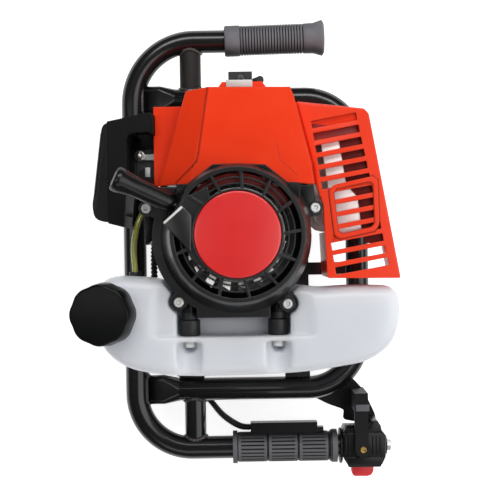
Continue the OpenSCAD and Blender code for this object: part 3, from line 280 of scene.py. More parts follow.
strut_enamel = surface("strut_enamel", (18, 16, 16), (44, 39, 38), (60, 56, 54),
                       rough=0.6, grain=300, depth=0.0004, soft=0.001,
                       sockets={"Specular IOR Level": 0.3}, patch=70)
strut_runs = (((loop_top_y, upper_y), strut_enamel), ((lower_y, loop_low_y), black_enamel))
for number, (ends, finish) in enumerate(strut_runs):
    line = [Vector((strut_x, end, frame_z - strut_drop)) for end in ends]
    keep(swept(line, [strut_r, strut_r], 40), f"strut_tube_{number}", finish, "frame", "frame_paint",
         "frame_struts")

# Weld seams of the frame: short hand-laid beads round both ends of each strut and round the pressed
# ends of the loop, rippled where the torch stepped, under the same enamel.
tube_r, handle_x = 0.0127, -0.118
pressed_high, pressed_wide = 0.0062, 0.0167
strut_steps, loop_steps, weld_low = 90, 120, -0.0125
weld_enamel = surface("weld_enamel", (10, 10, 10), (78, 70, 66), (120, 116, 112),
                      rough=0.4, grain=900, depth=0.001, soft=0.0006, sockets={"Coat Weight": 0.3}, patch=260)
step = random.Random(7)
for number, (tube_y, side) in enumerate([(upper_y, -1), (loop_top_y, 1), (loop_low_y, -1), (lower_y, 1)]):
    seam = []
    for k in range(strut_steps + 1):
        turn = k * math.tau / strut_steps
        across, up = strut_r * math.cos(turn), max(strut_r * math.sin(turn) - strut_drop, weld_low)
        seam.append(Vector((strut_x + across, tube_y + side * math.sqrt(tube_r ** 2 - up ** 2), frame_z + up)))
    beads = [0.0019 + 0.0006 * abs(math.sin(k * 0.7)) + step.uniform(-0.0003, 0.0003) for k in range(len(seam))]
    keep(swept(seam, beads, 8), f"strut_weld_{number}", weld_enamel, "frame", "frame_paint")
for number, end_y in enumerate([loop_top_y, loop_low_y]):
    seam = []
    for k in range(loop_steps + 1):
        turn = k * math.tau / loop_steps
        up = pressed_high * max(-1, min(1, 1.5 * math.sin(turn)))
        seam.append(Vector((handle_x + math.sqrt(tube_r ** 2 - up ** 2), end_y + pressed_wide * math.cos(turn),
                            frame_z + up)))
    beads = [0.0016 + 0.0006 * abs(math.sin(k * 0.8)) + step.uniform(-0.0001, 0.0001) for k in range(len(seam))]
    keep(swept(seam, beads, 8), f"loop_weld_{number}", weld_enamel, "frame", "frame_paint")

# Engine block: crankcase halves, finned cylinder, piston and flywheel, cast in aluminium, with crankshaft,
# rod and spark plug of steel. Only fins and bosses show below the covers.
dress(cast_aluminium, "crankcase_rear", "crankcase_front", "engine_cylinder", "piston", "flywheel")
dress(bright_steel, "crankshaft", "connecting_rod", "spark_plug")

# Exhaust muffler: two pressed steel shells joined at a seam, held on the cylinder's port. Pale plated
# steel that the heat has browned in patches.
muffler_steel = surface("muffler_steel", (214, 196, 192), (240, 234, 232), (244, 242, 240),
                        rough=0.42, grain=300, depth=0.0001, soft=0.002, sockets={"Metallic": 0.45}, patch=40)
dress(muffler_steel, "muffler")

# Carburettor with its levers on a heat-insulating block: a zinc casting with a primer dome and a
# bracket for the throttle wire, screwed between cylinder and air filter.
dark_zinc = surface("dark_zinc", (34, 34, 36), (56, 56, 58), (120, 120, 120),
                    rough=0.45, grain=700, depth=0.0003, soft=0.001, sockets={"Metallic": 0.8})
dress(dark_zinc, "carburettor")
dress(bright_steel, "carb_lever")
black_plastic = surface("black_plastic", (12, 12, 13), (20, 20, 21), (40, 40, 42),
                        rough=0.28, grain=1300, depth=0.0001, soft=0.0012, sockets={"Specular IOR Level": 0.22})
dress(black_plastic, "insulator_block", "choke_lever")


def turned(profile, steps, place):
    """A body of revolution: a profile of radius and height that is spun about Z, then put in place."""
    shape = bmesh.new()
    points = [shape.verts.new((radius, 0, height)) for radius, height in profile]
    line = [shape.edges.new(pair) for pair in zip(points, points[1:])]
    bmesh.ops.spin(shape, geom=points + line, cent=(0, 0, 0), axis=(0, 0, 1), angle=math.tau, steps=steps,
                   use_merge=True)
    bmesh.ops.remove_doubles(shape, verts=shape.verts, dist=1e-6)
    bmesh.ops.recalc_face_normals(shape, faces=shape.faces)
    bmesh.ops.transform(shape, matrix=place, verts=shape.verts)
    return shape


def prism(outline, low, high, rounded, place=Matrix.Identity(4)):
    """A plate cut to an outline, with all its edges rounded."""
    shape = bmesh.new()
    base = shape.faces.new([shape.verts.new((x, y, low)) for x, y in outline])
    grown = bmesh.ops.extrude_face_region(shape, geom=[base])["geom"]
    raised = [g for g in grown if isinstance(g, bmesh.types.BMVert)]
    bmesh.ops.translate(shape, verts=raised, vec=(0, 0, high - low))
    bmesh.ops.recalc_face_normals(shape, faces=shape.faces)
    bmesh.ops.bevel(shape, geom=shape.edges[:], offset=rounded, offset_type="OFFSET", segments=3, profile=0.5,
                    affect="EDGES", material=-1)
    bmesh.ops.transform(shape, matrix=place, verts=shape.verts)
    return shape


dome = [(0, 0.1575), (0.0015, 0.1573), (0.003, 0.1565), (0.0038, 0.1552), (0.004, 0.153), (0.0052, 0.1526),
        (0.0055, 0.1515), (0.0055, 0.15), (0, 0.15)]
keep(turned(dome, 40, Matrix.Translation((-0.1018, 0.0845, 0))), "primer_dome", bright_steel, "frame",
     "bare_steel")
bracket = [(-0.0965, 0.0585), (-0.0905, 0.0585), (-0.0905, 0.0725), (-0.0965, 0.0725)]
keep(prism(bracket, 0.149, 0.1545, 0.0008), "cable_bracket", cast_aluminium, "frame", "cast_aluminium")

# Air filter: a moulded case with a web in its corner and a spacer to the shroud, a cover that clips on
# with rounded outer edges, and a foam element inside.
case_black = surface("case_black", (10, 10, 11), (17, 17, 18), (34, 34, 36),
                     rough=0.5, grain=1300, depth=0.0001, soft=0.0012, sockets={"Specular IOR Level": 0.12})
keep(copied("air_filter_base"), "filter_case", case_black, "frame", "black_plastic", "air_filter_base")
web_r, web_x, web_y = 0.008, -0.104, 0.097
web = [(-0.1122, web_y), (-0.1122, 0.1052), (web_x, 0.1052)]
web += [(web_x - web_r * math.sin(k * math.pi / 16), web_y + web_r * math.cos(k * math.pi / 16)) for k in range(8)]
keep(prism(web, 0.111, 0.1818, 0.0002), "corner_web", case_black, "frame", "black_plastic")


def eased(node, name, material, body, slot, width, right=1.0):
    """A CAD node's shape with its broad outer edges rounded, those left of a given X."""
    shape = copied(node)
    thin = 0.0025
    broad = {f for f in shape.faces if f.calc_area() / f.calc_perimeter() > thin}
    edges = [e for e in shape.edges if len(e.link_faces) == 2 and e.is_convex and e.calc_face_angle() > 0.4
             and all(f in broad for f in e.link_faces) and all(v.co.x < right for v in e.verts)]
    bmesh.ops.bevel(shape, geom=edges, offset=width, offset_type="OFFSET", segments=3, profile=0.5,
                    affect="EDGES", material=-1, clamp_overlap=False)
    return keep(shape, name, material, body, slot, node)


eased("air_filter_cover", "filter_lid", black_plastic, "frame", "black_plastic", width=0.004, right=-0.1325)
spacer = [(-0.09, 0.104), (-0.0842, 0.104), (-0.0842, 0.1245), (-0.09, 0.1245)]
keep(prism(spacer, 0.112, 0.1795, 0.001), "filter_spacer", case_black, "frame", "black_plastic")
filter_foam = surface("filter_foam", (52, 52, 52), (86, 86, 84), (96, 96, 96),
                      rough=0.9, grain=900, depth=0.001, soft=0.001)
dress(filter_foam, "air_filter_element")

# Fan housing: a moulded black scroll round the flywheel fan, screwed to the crankcase, with the
# ignition coil at the rim of the flywheel. A plate closes the scroll's left side.
dress(black_plastic, "fan_housing", "ignition_coil")
scroll_side = [(-0.0955, 0.0235), (-0.0955, -0.0085), (-0.091, -0.0065), (-0.085, 0.0), (-0.085, 0.0235)]
keep(prism(scroll_side, 0.14, 0.17, 0.001), "scroll_side", black_plastic, "frame", "black_plastic")

# Recoil starter: a moulded cover with a bladed grille and an arched shoulder, held by four plated screws, with a
# bare badge plate in its middle and a bright strip on the rope guide. A red baffle and vanes show through the
# grille, the vanes painted far paler than the cast fan as a painted highlight against the shade under the cover.
# Inside, the rope reel turns against a flat steel spring.
starter_black = surface("starter_black", (10, 10, 11), (18, 18, 19), (46, 46, 48),
                        rough=0.3, grain=1100, depth=0.0001, soft=0.0014, sockets={"Specular IOR Level": 0.6})
dress(starter_black, "starter_housing")


def arc(radius, degrees):
    """Points on a circle round the crank axis."""
    return [(radius * math.cos(math.radians(a)), radius * math.sin(math.radians(a))) for a in degrees]


shoulder = arc(0.0655, range(24, 145, 6))
shoulder += [(-0.0585, 0.0415), (-0.0585, 0.0495), (-0.0465, 0.0495), (-0.0232, 0.0682), (0.0274, 0.0672),
             (0.0482, 0.0502), (0.0615, 0.0492)]
keep(prism(shoulder, 0.196, 0.2285, 0.0005), "cover_shoulder", black_plastic, "frame", "black_plastic")
shoulder_step = [(0.058, 0.03), (0.058, 0.0493), (0.0755, 0.0489), (0.0775, 0.035), (0.072, 0.028)]
keep(prism(shoulder_step, 0.188, 0.1965, 0.0008), "cover_step", black_plastic, "frame", "black_plastic")
plated_steel = surface("plated_steel", (206, 206, 203), (232, 232, 229), (240, 240, 238),
                       rough=0.3, grain=500, depth=0.0001, soft=0.0005, sockets={"Metallic": 0.3})
badge_red = surface("badge_red", (204, 30, 30), (216, 38, 36), (226, 60, 56),
                    rough=0.3, grain=600, depth=0.00002, soft=0.0008,
                    sockets={"Coat Weight": 0.3, "Coat Roughness": 0.08})
badge = [(0, 0.238), (0.04, 0.238), (0.0411, 0.2378), (0.0417, 0.2373), (0.042, 0.2365), (0.042, 0.235),
         (0, 0.235)]
keep(turned(badge, 96, Matrix.Identity(4)), "badge_disc", badge_red, "frame", "badge_red", "starter_badge",
     crease=60)
screw_spots = ((0.077, 0.026), (-0.091, 0.028), (-0.06, -0.066), (0.048, -0.069))
screw = [(0, 0.1982), (0.0021, 0.1974), (0.0025, 0.1999), (0.0036, 0.2), (0.0046, 0.1994), (0.005, 0.1983),
         (0.005, 0.195), (0.0025, 0.195), (0.0025, 0.176), (0, 0.176)]
for number, (x, y) in enumerate(screw_spots):
    keep(turned(screw, 36, Matrix.Translation((x, y, 0))), f"cover_screw_{number}", plated_steel, "frame",
         "bare_steel", "starter_screws")
guide = [(-0.0718, 0.0121), (-0.0525, 0.029), (-0.0432, 0.0195), (-0.0445, -0.017)]
keep(prism(guide, 0.214, 0.2385, 0.0012), "rope_guide", starter_black, "frame", "black_plastic")
strip = [(-0.0708, 0.0126), (-0.0533, 0.028), (-0.0517, 0.0263), (-0.0692, 0.0109)]
keep(prism(strip, 0.2382, 0.2394, 0.0003), "guide_strip", plated_steel, "frame", "bare_steel")
baffle_red = surface("baffle_red", (112, 16, 12), (150, 24, 18), (160, 40, 30),
                     rough=0.5, grain=600, depth=0.0001, soft=0.001)
baffle = arc(0.049, range(28, 154, 7)) + arc(0.06, range(147, 21, -7))
keep(prism(baffle, 0.2215, 0.2228, 0.0002), "air_baffle", baffle_red, "frame", "red_cover")
# Pale vanes: a painted highlight on fan blades that sit in the shade under the grille.
vane_highlight = surface("vane_highlight", (222, 220, 218), (240, 238, 236), (246, 246, 246),
                    rough=0.5, grain=600, depth=0.0001, soft=0.001)
vane_root, vane_tip, longest_at = 0.0462, 0.058, 230
for number, a in enumerate(range(196, 352, 18)):
    reach = vane_tip - 0.00042 * abs(a - longest_at) ** 0.7
    vane = arc(vane_root, (a + 2, a + 11)) + arc(reach, (a + 11,)) + arc(reach - 0.003, (a + 2,))
    keep(prism(vane, 0.2225, 0.2295, 0.0004), f"air_vane_{number}", vane_highlight, "frame", "cast_aluminium")
dress(bright_steel, "recoil_spring")
reel_plastic = surface("reel_plastic", (196, 194, 186), (214, 212, 204), (222, 220, 214),
                       rough=0.5, grain=700, depth=0.0001, soft=0.0008)
dress(reel_plastic, "rope_reel")

# Starter rope and its handle: braided cord from the reel through the outlet to a knot in a turned
# barrel of black plastic with a thick end. The rope pays out when the handle is pulled.
outlet = Vector((-0.06, 0.0295, 0.215))
pull = Vector((-0.883080, 0.411787, 0.224951))
along_pull = Matrix.Translation(outlet) @ Vector((0, 0, 1)).rotation_difference(pull).to_matrix().to_4x4()
barrel = [(0.0025, 0.003), (0.0078, 0.003), (0.0088, 0.0037), (0.0094, 0.0052), (0.0097, 0.009),
          (0.0097, 0.036), (0.01, 0.042), (0.0108, 0.05), (0.012, 0.056), (0.0128, 0.059), (0.013, 0.0615),
          (0.0125, 0.0642), (0.011, 0.0658), (0.0085, 0.066), (0.0055, 0.0648), (0.005, 0.063), (0.005, 0.058),
          (0.0025, 0.058), (0.0025, 0.003)]
pull_plastic = surface("pull_plastic", (10, 9, 10), (17, 16, 17), (40, 40, 42),
                       rough=0.26, grain=900, depth=0.00006, soft=0.001, sockets={"Specular IOR Level": 0.32})
pull_grip = keep(turned(barrel, 64, along_pull), "pull_grip", pull_plastic, "pull", "black_plastic",
                 "starter_handle")
rope_fibre, rope_shader, rope_place = bare_finish("rope_fibre", {"Roughness": 0.85})
lay = rope_place.noise(900.0, 4.0)
rope_place.mix(lay, tint(170, 166, 152), tint(214, 210, 198)).feed(rope_shader, "Base Color")
rope_place.node("Bump", {}, {"Strength": 0.6, "Distance": 0.0006, "Height": lay}).feed(rope_shader, "Normal")
rope_tail, rope_points = 0.016, 77
rope_line = [outlet + pull * (-rope_tail + 0.001 * k) for k in range(rope_points)]
strands = [0.0019 + 0.0001 * math.sin(k * 1.3) for k in range(rope_points)]
rope = keep(swept(rope_line, strands, 12), "pull_rope", rope_fibre, None, "rope_fibre", "starter_rope")
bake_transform(rope)

# Engine shroud: a red moulded cover over the cylinder, glossy from the mould, that stands on the fins.
# Two lines are pressed into its face.
pressed_lines = [([(-0.0283, 0.1475), (-0.0385, 0.082), (-0.0405, 0.074), (-0.0445, 0.0695), (-0.062, 0.0533)],
                  0.0017, 0.7),
                 ([(0.0391, 0.0921), (0.0428, 0.074), (0.0595, 0.0589)], 0.0009, 0.35)]
mould_gloss = {"Coat Weight": 0.1, "Coat Roughness": 0.15, "Specular IOR Level": 0.2}
red_cover = surface("red_cover", (229, 50, 14), (239, 60, 20), (246, 84, 46),
                    rough=0.3, grain=600, depth=0.00006, soft=0.0025, sockets=mould_gloss, grooves=pressed_lines)
keep(copied("engine_shroud", 4), "cylinder_cover", red_cover, "frame", "red_cover", "engine_shroud", crease=18)

# Muffler guard: a red moulded grille over the exhaust, with two lines pressed round its middle slots.
# The two upper slots are blind, with a dark red strip of painted shade in each. A flange fills the gap to the
# shroud, a dark red sheet under the slots is painted shade of the guard's inside, and a pale plate keeps the heat
# off.
band_lines = [([(0.0959, 0.0498), (0.091, 0.0431), (0.0958, -0.0016), (0.1019, -0.006), (0.1373, 0.0014),
                (0.1426, 0.0081), (0.1415, 0.0537), (0.1359, 0.0582), (0.0959, 0.0498)], 0.0011, 0.6),
              ([(0.0996, 0.0451), (0.0967, 0.041), (0.1008, 0.0027), (0.1045, 0.0), (0.1339, 0.0062),
                (0.1372, 0.0103), (0.1362, 0.0493), (0.1328, 0.052), (0.0996, 0.0451)], 0.0009, 0.6)]
guard_red = surface("guard_red", (226, 50, 18), (236, 60, 24), (244, 86, 50),
                    rough=0.3, grain=600, depth=0.00006, soft=0.002, sockets=mould_gloss, grooves=band_lines)
exhaust_cover = eased("muffler_guard", "exhaust_cover", guard_red, "frame", "red_cover", width=0.002)
blind_slots = ((0.098, 0.114, 0.0225), (0.1002, 0.1018, 0.023))
slot_reach, slot_low, slot_high, slot_drop = 0.0255, 0.183, 0.1853, 0.009
for vert in exhaust_cover.data.vertices:
    for x, y, _ in blind_slots:
        if slot_low < vert.co.z < slot_high and math.hypot(vert.co.x - x, vert.co.y - y) < slot_reach:
            vert.co.z -= slot_drop
# Dark red strips in the two blind slots: painted shade.
for number, (x, y, half) in enumerate(blind_slots):
    tilt = Matrix.Translation((x, y, 0)) @ Matrix.Rotation(math.radians(10), 4, "Z")
    slot = [(-half, -0.0036), (half, -0.0036), (half, 0.0036), (-half, 0.0036)]
    keep(prism(slot, 0.176, 0.1795, 0.0003, tilt), f"slot_shade_strip_{number}", baffle_red, "frame", "red_cover")
flange = [(0.0575, 0.1335), (0.064, 0.1335), (0.0805, 0.051), (0.074, 0.051)]
keep(prism(flange, 0.17, 0.1825, 0.0005), "cover_flange", red_cover, "frame", "red_cover")
# A dark red sheet under the right of the slots: painted shade of the guard's inside.
guard_shade_red = surface("guard_shade_red", (24, 3, 2), (120, 24, 16), (120, 40, 30),
                     rough=0.6, grain=500, depth=0.0002, soft=0.001,
                     sockets={"Specular IOR Level": 0.15}, patch=120)
shade_outline = [(0.103, 0.098), (0.11, 0.05), (0.1215, 0.037), (0.1245, 0.008), (0.128, -0.01), (0.147, -0.01),
          (0.141, 0.05), (0.132, 0.098)]
keep(prism(shade_outline, 0.1795, 0.1812, 0.0003), "guard_shade_sheet", guard_shade_red, "frame", "red_cover")
deflector = [(0.0845, 0.094), (0.1035, 0.094), (0.111, 0.049), (0.1222, 0.0365), (0.125, 0.003), (0.096, -0.002),
             (0.091, 0.05)]
keep(prism(deflector, 0.1785, 0.18, 0.0003), "heat_deflector", muffler_steel, "frame", "bare_steel")

# Spark plug cap with its lead: a rubber cap held down by a bent zinc strap, a short boot beside it, and
# the high-tension lead, rubber-sheathed, from the ignition coil below the shroud.
black_rubber = surface("black_rubber", (14, 14, 14), (24, 24, 25), (44, 44, 45),
                       rough=0.5, grain=700, depth=0.0001, soft=0.001)
dress(black_rubber, "plug_cap")
strap_zinc = surface("strap_zinc", (176, 172, 168), (208, 204, 200), (224, 224, 222),
                     rough=0.45, grain=500, depth=0.0001, soft=0.0006, sockets={"Metallic": 0.3})
strap = [(0.1487, 0.1874), (0.1562, 0.1874), (0.1562, 0.168), (0.1548, 0.168), (0.1548, 0.1862), (0.1487, 0.1862)]
across_x = Matrix(((0, 0, 1, 0), (1, 0, 0, 0), (0, 1, 0, 0), (0, 0, 0, 1)))
keep(prism(strap, -0.01, 0.0166, 0.0004, across_x), "cap_strap", strap_zinc, "frame", "bare_steel")
boot_points = ((15, 160, 140), (19, 160, 152), (22.5, 159, 164), (24, 157.6, 174), (24.4, 157.2, 182))
boot_line = [Vector(p) * 0.001 for p in boot_points]
boot_radii = [0.0036, 0.0038, 0.004, 0.0042, 0.0036]
keep(swept(boot_line, boot_radii, 20), "lead_boot", black_rubber, "frame", "black_rubber")


def through(points, steps):
    """A smooth line through points given in millimetres."""
    knots = [Vector(p) * 0.001 for p in points]
    line = [knots[0]]
    for k in range(len(knots) - 1):
        before, after = knots[max(k - 1, 0)], knots[min(k + 2, len(knots) - 1)]
        leave = knots[k] + (knots[k + 1] - before) / 6
        reach = knots[k + 1] - (after - knots[k]) / 6
        line += interpolate_bezier(knots[k], leave, reach, knots[k + 1], steps + 1)[1:]
    return line


def run_length(line):
    """How long a line of points is."""
    return sum((b - a).length for a, b in zip(line, line[1:]))


lead_line = through([(14, 84.8, 174), (14, 96, 177), (16, 118, 181), (12, 136, 174), (5, 161, 159),
                     (5, 164, 143.8)], 10)
lead_length = run_length(lead_line)
lead = keep(swept(lead_line, [0.0035] * len(lead_line), 16), "plug_lead", black_rubber, "frame", "black_rubber",
            "ignition_lead")

# Fuel tank: blow-moulded in milky polyethylene round the starter, with a ledge for its two bolts, a
# scoop below each bolt head and a filler neck. Soft corners, a parting line and a faint mould skin.
tank_plastic, tank_shader, tank_place = bare_finish("tank_plastic", {
    "Roughness": 0.36, "Subsurface Weight": 1.0, "Subsurface Scale": 0.035, "Subsurface Radius": (1, 1, 1)})
tank_drift = tank_place.noise(9.0, 3.0)
tank_place.mix(tank_drift, tint(203, 206, 212), tint(219, 221, 226)).feed(tank_shader, "Base Color")
tank_skin = tank_place.noise(160.0, 2.0)
tank_height = tank_place.node("SeparateXYZ", {}, {0: tank_place}, "Z")
parting_z, parting_half = 0.16, 0.0006
parting = tank_place.math("LESS_THAN", tank_place.math("ABSOLUTE", tank_height - parting_z), parting_half)
tank_place.node("Bump", {}, {"Strength": 0.3, "Distance": 0.0008, "Height": tank_skin * 0.35 + parting}).feed(
    tank_shader, "Normal")
# Each station across the tank gives x, its low and high y and how far its faces are drawn in, in mm.
tank_back, tank_face, tank_corner = 122, 198, 7
stations = [(-144, -86, -62, 9), (-143, -99, -52, 4), (-138, -112, -43.5, 1), (-130, -122, -39.5, 0),
            (-118, -131, -39, 0), (-104, -136.5, -40, 0), (-84, -140, -41.5, 0), (-70, -141.5, -46, 0),
            (-43, -143, -50, 0), (8, -142.5, -50, 0), (60, -140.5, -50, 0), (78, -138.5, -54, 0),
            (92, -136.5, -53, 0), (118, -132.5, -51.5, 0), (130, -129.5, -52.5, 0), (146, -119.5, -52.5, 0),
            (154, -110, -53.5, 1), (159.5, -96, -57.5, 4), (161.5, -86, -66, 10)]
blank = bmesh.new()
front = blank.faces.new([blank.verts.new((0, 0, 0)) for _ in range(8)])
for number, (x, low, high, drawn) in enumerate(stations):
    if number:
        grown = bmesh.ops.extrude_face_region(blank, geom=[front])["geom"]
        if number > 1:
            bmesh.ops.delete(blank, geom=[front], context="FACES_ONLY")
        front = next(g for g in grown if isinstance(g, bmesh.types.BMFace))
    back, face = tank_back + drawn, tank_face - drawn
    cut = min(tank_corner, (high - low) * 0.3)
    corners = [(low, back + cut), (low + cut, back), (high - cut, back), (high, back + cut), (high, face - cut),
               (high - cut, face), (low + cut, face), (low, face - cut)]
    for vert, (y, z) in zip(front.verts, corners):
        vert.co = Vector((x, y, z)) * 0.001
bmesh.ops.recalc_face_normals(blank, faces=blank.faces)


def loose(shape, name):
    """A helper object that is removed again once a piece has been cut with it."""
    data = bpy.data.meshes.new(name)
    shape.to_mesh(data)
    shape.free()
    made = bpy.data.objects.new(name, data)
    bpy.context.scene.collection.objects.link(made)
    return made


def block(centre, size):
    """A box with its centre and its three sides given."""
    shape = bmesh.new()
    bmesh.ops.create_cube(shape, size=1, matrix=Matrix.Translation(centre) @ Matrix.Diagonal((*size, 1)))
    return shape


def room(centre, low_radius, high_radius, segments):
    """A slightly tapered round hole through the tank's upper part."""
    middle, depth = 0.187, 0.06
    shape = bmesh.new()
    bmesh.ops.create_cone(shape, cap_ends=True, segments=segments, radius1=low_radius, radius2=high_radius,
                          depth=depth, matrix=Matrix.Translation((*centre, middle)))
    return shape


tank_blank = loose(blank, "tank_blank")
rounding = tank_blank.modifiers.new("rounding", "SUBSURF")
rounding.levels = rounding.render_levels = 2
ledge = block((-0.006, -0.0655, 0.1995), (0.15, 0.071, 0.011))
ledge_flare = 0.03
for vert in ledge.verts:
    if vert.co.z > 0.2:
        vert.co.x += math.copysign(ledge_flare, vert.co.x)
tools = [loose(room((-0.007, 0), 0.083, 0.085, 96), "recess"),
         loose(block((-0.006, -0.0655, 0.182), (0.114, 0.071, 0.038)), "post_bay"), loose(ledge, "ledge")]
post_spots = (-0.0505, 0.039)
for x in post_spots:
    for reach, depth, width in ((0.0095, 0.03, 0.0085), (0.05, 0.012, 0.013)):
        scoop = bmesh.new()
        spot = Matrix.Translation((x, -0.11, 0.196)) @ Matrix.Diagonal((width, reach, depth, 1))
        bmesh.ops.create_uvsphere(scoop, u_segments=32, v_segments=20, radius=1, matrix=spot)
        halved = bmesh.ops.bisect_plane(scoop, geom=scoop.verts[:] + scoop.edges[:] + scoop.faces[:],
                                        plane_co=(0, -0.106, 0), plane_no=(0, 1, 0), clear_outer=True)["geom_cut"]
        bmesh.ops.holes_fill(scoop, edges=[g for g in halved if isinstance(g, bmesh.types.BMEdge)], sides=0)
        bmesh.ops.recalc_face_normals(scoop, faces=scoop.faces)
        tools.append(loose(scoop, "scoop"))
lower_lugs = screw_spots[2:]
for spot in lower_lugs:
    tools.append(loose(room(spot, 0.0112, 0.0115, 32), "lug_room"))
for tool in tools:
    cutting = tank_blank.modifiers.new("cut", "BOOLEAN")
    cutting.operation, cutting.object = "DIFFERENCE", tool
neck_lean = Matrix.Translation((-0.131, -0.074, 0.2)) @ Matrix.Rotation(math.radians(-12), 4, "Y")
neck = loose(turned([(0, -0.014), (0.02, -0.014), (0.02, 0.0175), (0, 0.0175)], 48, neck_lean), "neck")
joining = tank_blank.modifiers.new("join", "BOOLEAN")
joining.operation, joining.object = "UNION", neck
moulded = tank_blank.modifiers.new("moulded", "REMESH")
moulded.mode, moulded.voxel_size = "VOXEL", 0.0016
softened = tank_blank.modifiers.new("softened", "SMOOTH")
softened.factor, softened.iterations = 0.5, 12
made_tank = bpy.data.meshes.new_from_object(tank_blank.evaluated_get(bpy.context.evaluated_depsgraph_get()))
tank_shell = bmesh.new()
tank_shell.from_mesh(made_tank)
keep(tank_shell, "tank_shell", tank_plastic, "frame", "tank_white", "fuel_tank", crease=80)
for helper in [tank_blank, neck] + tools:
    bpy.data.objects.remove(helper)

# Fuel cap: a moulded black knob with eight finger scallops and a stepped top. Its skirt screws down
# over the leaning filler neck.
cap_bore, scallops, scallop_depth = 0.0205, 8, 0.036
cap_profile = [(0.0203, 0.0032), (0.0282, 0.003), (0.0296, 0.0038), (0.03, 0.0052), (0.0294, 0.013),
               (0.0288, 0.0226), (0.0282, 0.0242), (0.027, 0.025), (0.0258, 0.0252), (0.0, 0.0252)]
knob = turned(cap_profile, 160, Matrix.Identity(4))
for vert in knob.verts:
    radius, turn = vert.co.xy.length, math.atan2(vert.co.y, vert.co.x)
    if radius > cap_bore:
        dip = 0.5 - 0.5 * math.cos(scallops * turn)
        vert.co.xy *= 1 - scallop_depth * dip ** 1.5 * min(1, (radius - cap_bore) / 0.006)
bmesh.ops.scale(knob, verts=knob.verts, vec=(1.07, 1.055, 1))
bmesh.ops.transform(knob, matrix=neck_lean @ Matrix.Translation((0, -0.002, 0)), verts=knob.verts)
cap_black = surface("cap_black", (7, 8, 8), (12, 13, 13), (30, 31, 32),
                    rough=0.3, grain=1300, depth=0.0001, soft=0.0008, sockets={"Specular IOR Level": 0.14})
keep(knob, "tank_cap", cap_black, "cap", "black_plastic", "fuel_cap")

# Fuel hose: clear plastic tube, yellowed by fuel, held in the tank's grommet at one end and at the
# carburettor at the other.
hose_plastic = surface("hose_plastic", (142, 146, 52), (182, 184, 88), (190, 192, 110),
                       rough=0.2, grain=300, depth=0.0001, soft=0.001,
                       sockets={"Coat Weight": 0.5, "Coat Roughness": 0.05}, patch=60)
hose_line = through([(-109, -46, 146), (-109, -34, 146), (-110, -12, 147), (-107, 10, 144), (-99, 32, 136),
                     (-91, 46, 128), (-90, 52, 128)], 10)
hose_length = run_length(hose_line)
hose = keep(swept(hose_line, [0.003] * len(hose_line), 16), "clear_hose", hose_plastic, "frame", "hose_clear",
            "fuel_hose")

# Tank posts: rubber sleeves with a collar between fan housing and ledge, each held by a plated bolt
# with a washer, and the rubber grommet that seals the fuel hose.
sleeve = [(0.0032, 0.0775), (0.0082, 0.0775), (0.0082, 0.0842), (0.0098, 0.0848), (0.0104, 0.0856),
          (0.0104, 0.0995), (0.0098, 0.101), (0.0032, 0.101), (0.0032, 0.0775)]
bolt = [(0, 0.062), (0.003, 0.062), (0.003, 0.107), (0.0068, 0.107), (0.0068, 0.1085), (0.003, 0.1085),
        (0, 0.1085)]
downward = Matrix(((1, 0, 0, 0), (0, 0, -1, 0), (0, 1, 0, 0), (0, 0, 0, 1)))
# The bolt heads get a lighter copy of the plated finish: a painted highlight against the shade of their scoops.
bolt_head_highlight = surface("bolt_head_highlight", (236, 236, 233), (250, 250, 248), (252, 252, 250),
                    rough=0.25, grain=500, depth=0.0001, soft=0.0005, sockets={"Specular IOR Level": 0.7})


def hexagon(radius):
    """The outline of a bolt head."""
    return [(radius * math.cos(k * math.tau / 6), radius * math.sin(k * math.tau / 6)) for k in range(6)]


for number, x in enumerate(post_spots):
    post = Matrix.Translation((x, 0, 0.176)) @ downward
    keep(turned(sleeve, 48, post), f"post_sleeve_{number}", black_rubber, "frame", "black_rubber", "tank_posts")
    keep(turned(bolt, 36, post), f"bolt_shank_{number}", plated_steel, "frame", "bare_steel", "tank_bolts")
    keep(prism(hexagon(0.0062), 0.1086, 0.1128, 0.0005, post), f"bolt_head_{number}", bolt_head_highlight, "frame",
         "bare_steel")
grommet = [(0.0031, 0.036), (0.006, 0.036), (0.0064, 0.037), (0.0064, 0.0395), (0.0048, 0.0405), (0.0048, 0.0495),
           (0.0031, 0.05), (0.0031, 0.036)]
keep(turned(grommet, 32, Matrix.Translation((-0.109, 0, 0.146)) @ downward), "hose_grommet", black_rubber, "frame",
     "black_rubber")

# Grips: two rubber sleeves pushed over the tube ends, one ringed with a flared end that leans a little, one with
# blocks of lengthwise ribs. Moulded rubber, darker down in its grooves, with a painted highlight that makes the
# top of each sleeve lighter.
upper_start = min(v.co.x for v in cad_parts["upper_grip"].data.vertices)
upper_lean, upper_shift = math.radians(1.2), -0.0018
grip_r = 0.01655
grip_rubber, grip_shader, grip_place = bare_finish("grip_rubber", {"Specular IOR Level": 0.25})
grip_drift = grip_place.noise(40.0, 4.0)
grip_x = grip_place.node("SeparateXYZ", {}, {0: grip_place}, "X")
grip_y = grip_place.node("SeparateXYZ", {}, {0: grip_place}, "Y")
grip_z = grip_place.node("SeparateXYZ", {}, {0: grip_place}, "Z") - frame_z
upper_axis = (grip_x - (upper_start + upper_shift)) * math.tan(upper_lean) + upper_y
beside_upper = grip_place.math("ABSOLUTE", grip_y - upper_axis)
beside_lower = grip_place.math("ABSOLUTE", grip_y - lower_y)
beside = grip_place.math("MINIMUM", beside_upper, beside_lower)
from_axis = grip_place.math("SQRT", beside * beside + grip_z * grip_z)
# Darker down in the grooves of the rubber.
groove_darkening = grip_place.math("MULTIPLY", grip_r - from_axis, 2500, True)
base_rubber = grip_place.mix(grip_drift, tint(32, 32, 33), tint(44, 43, 45))
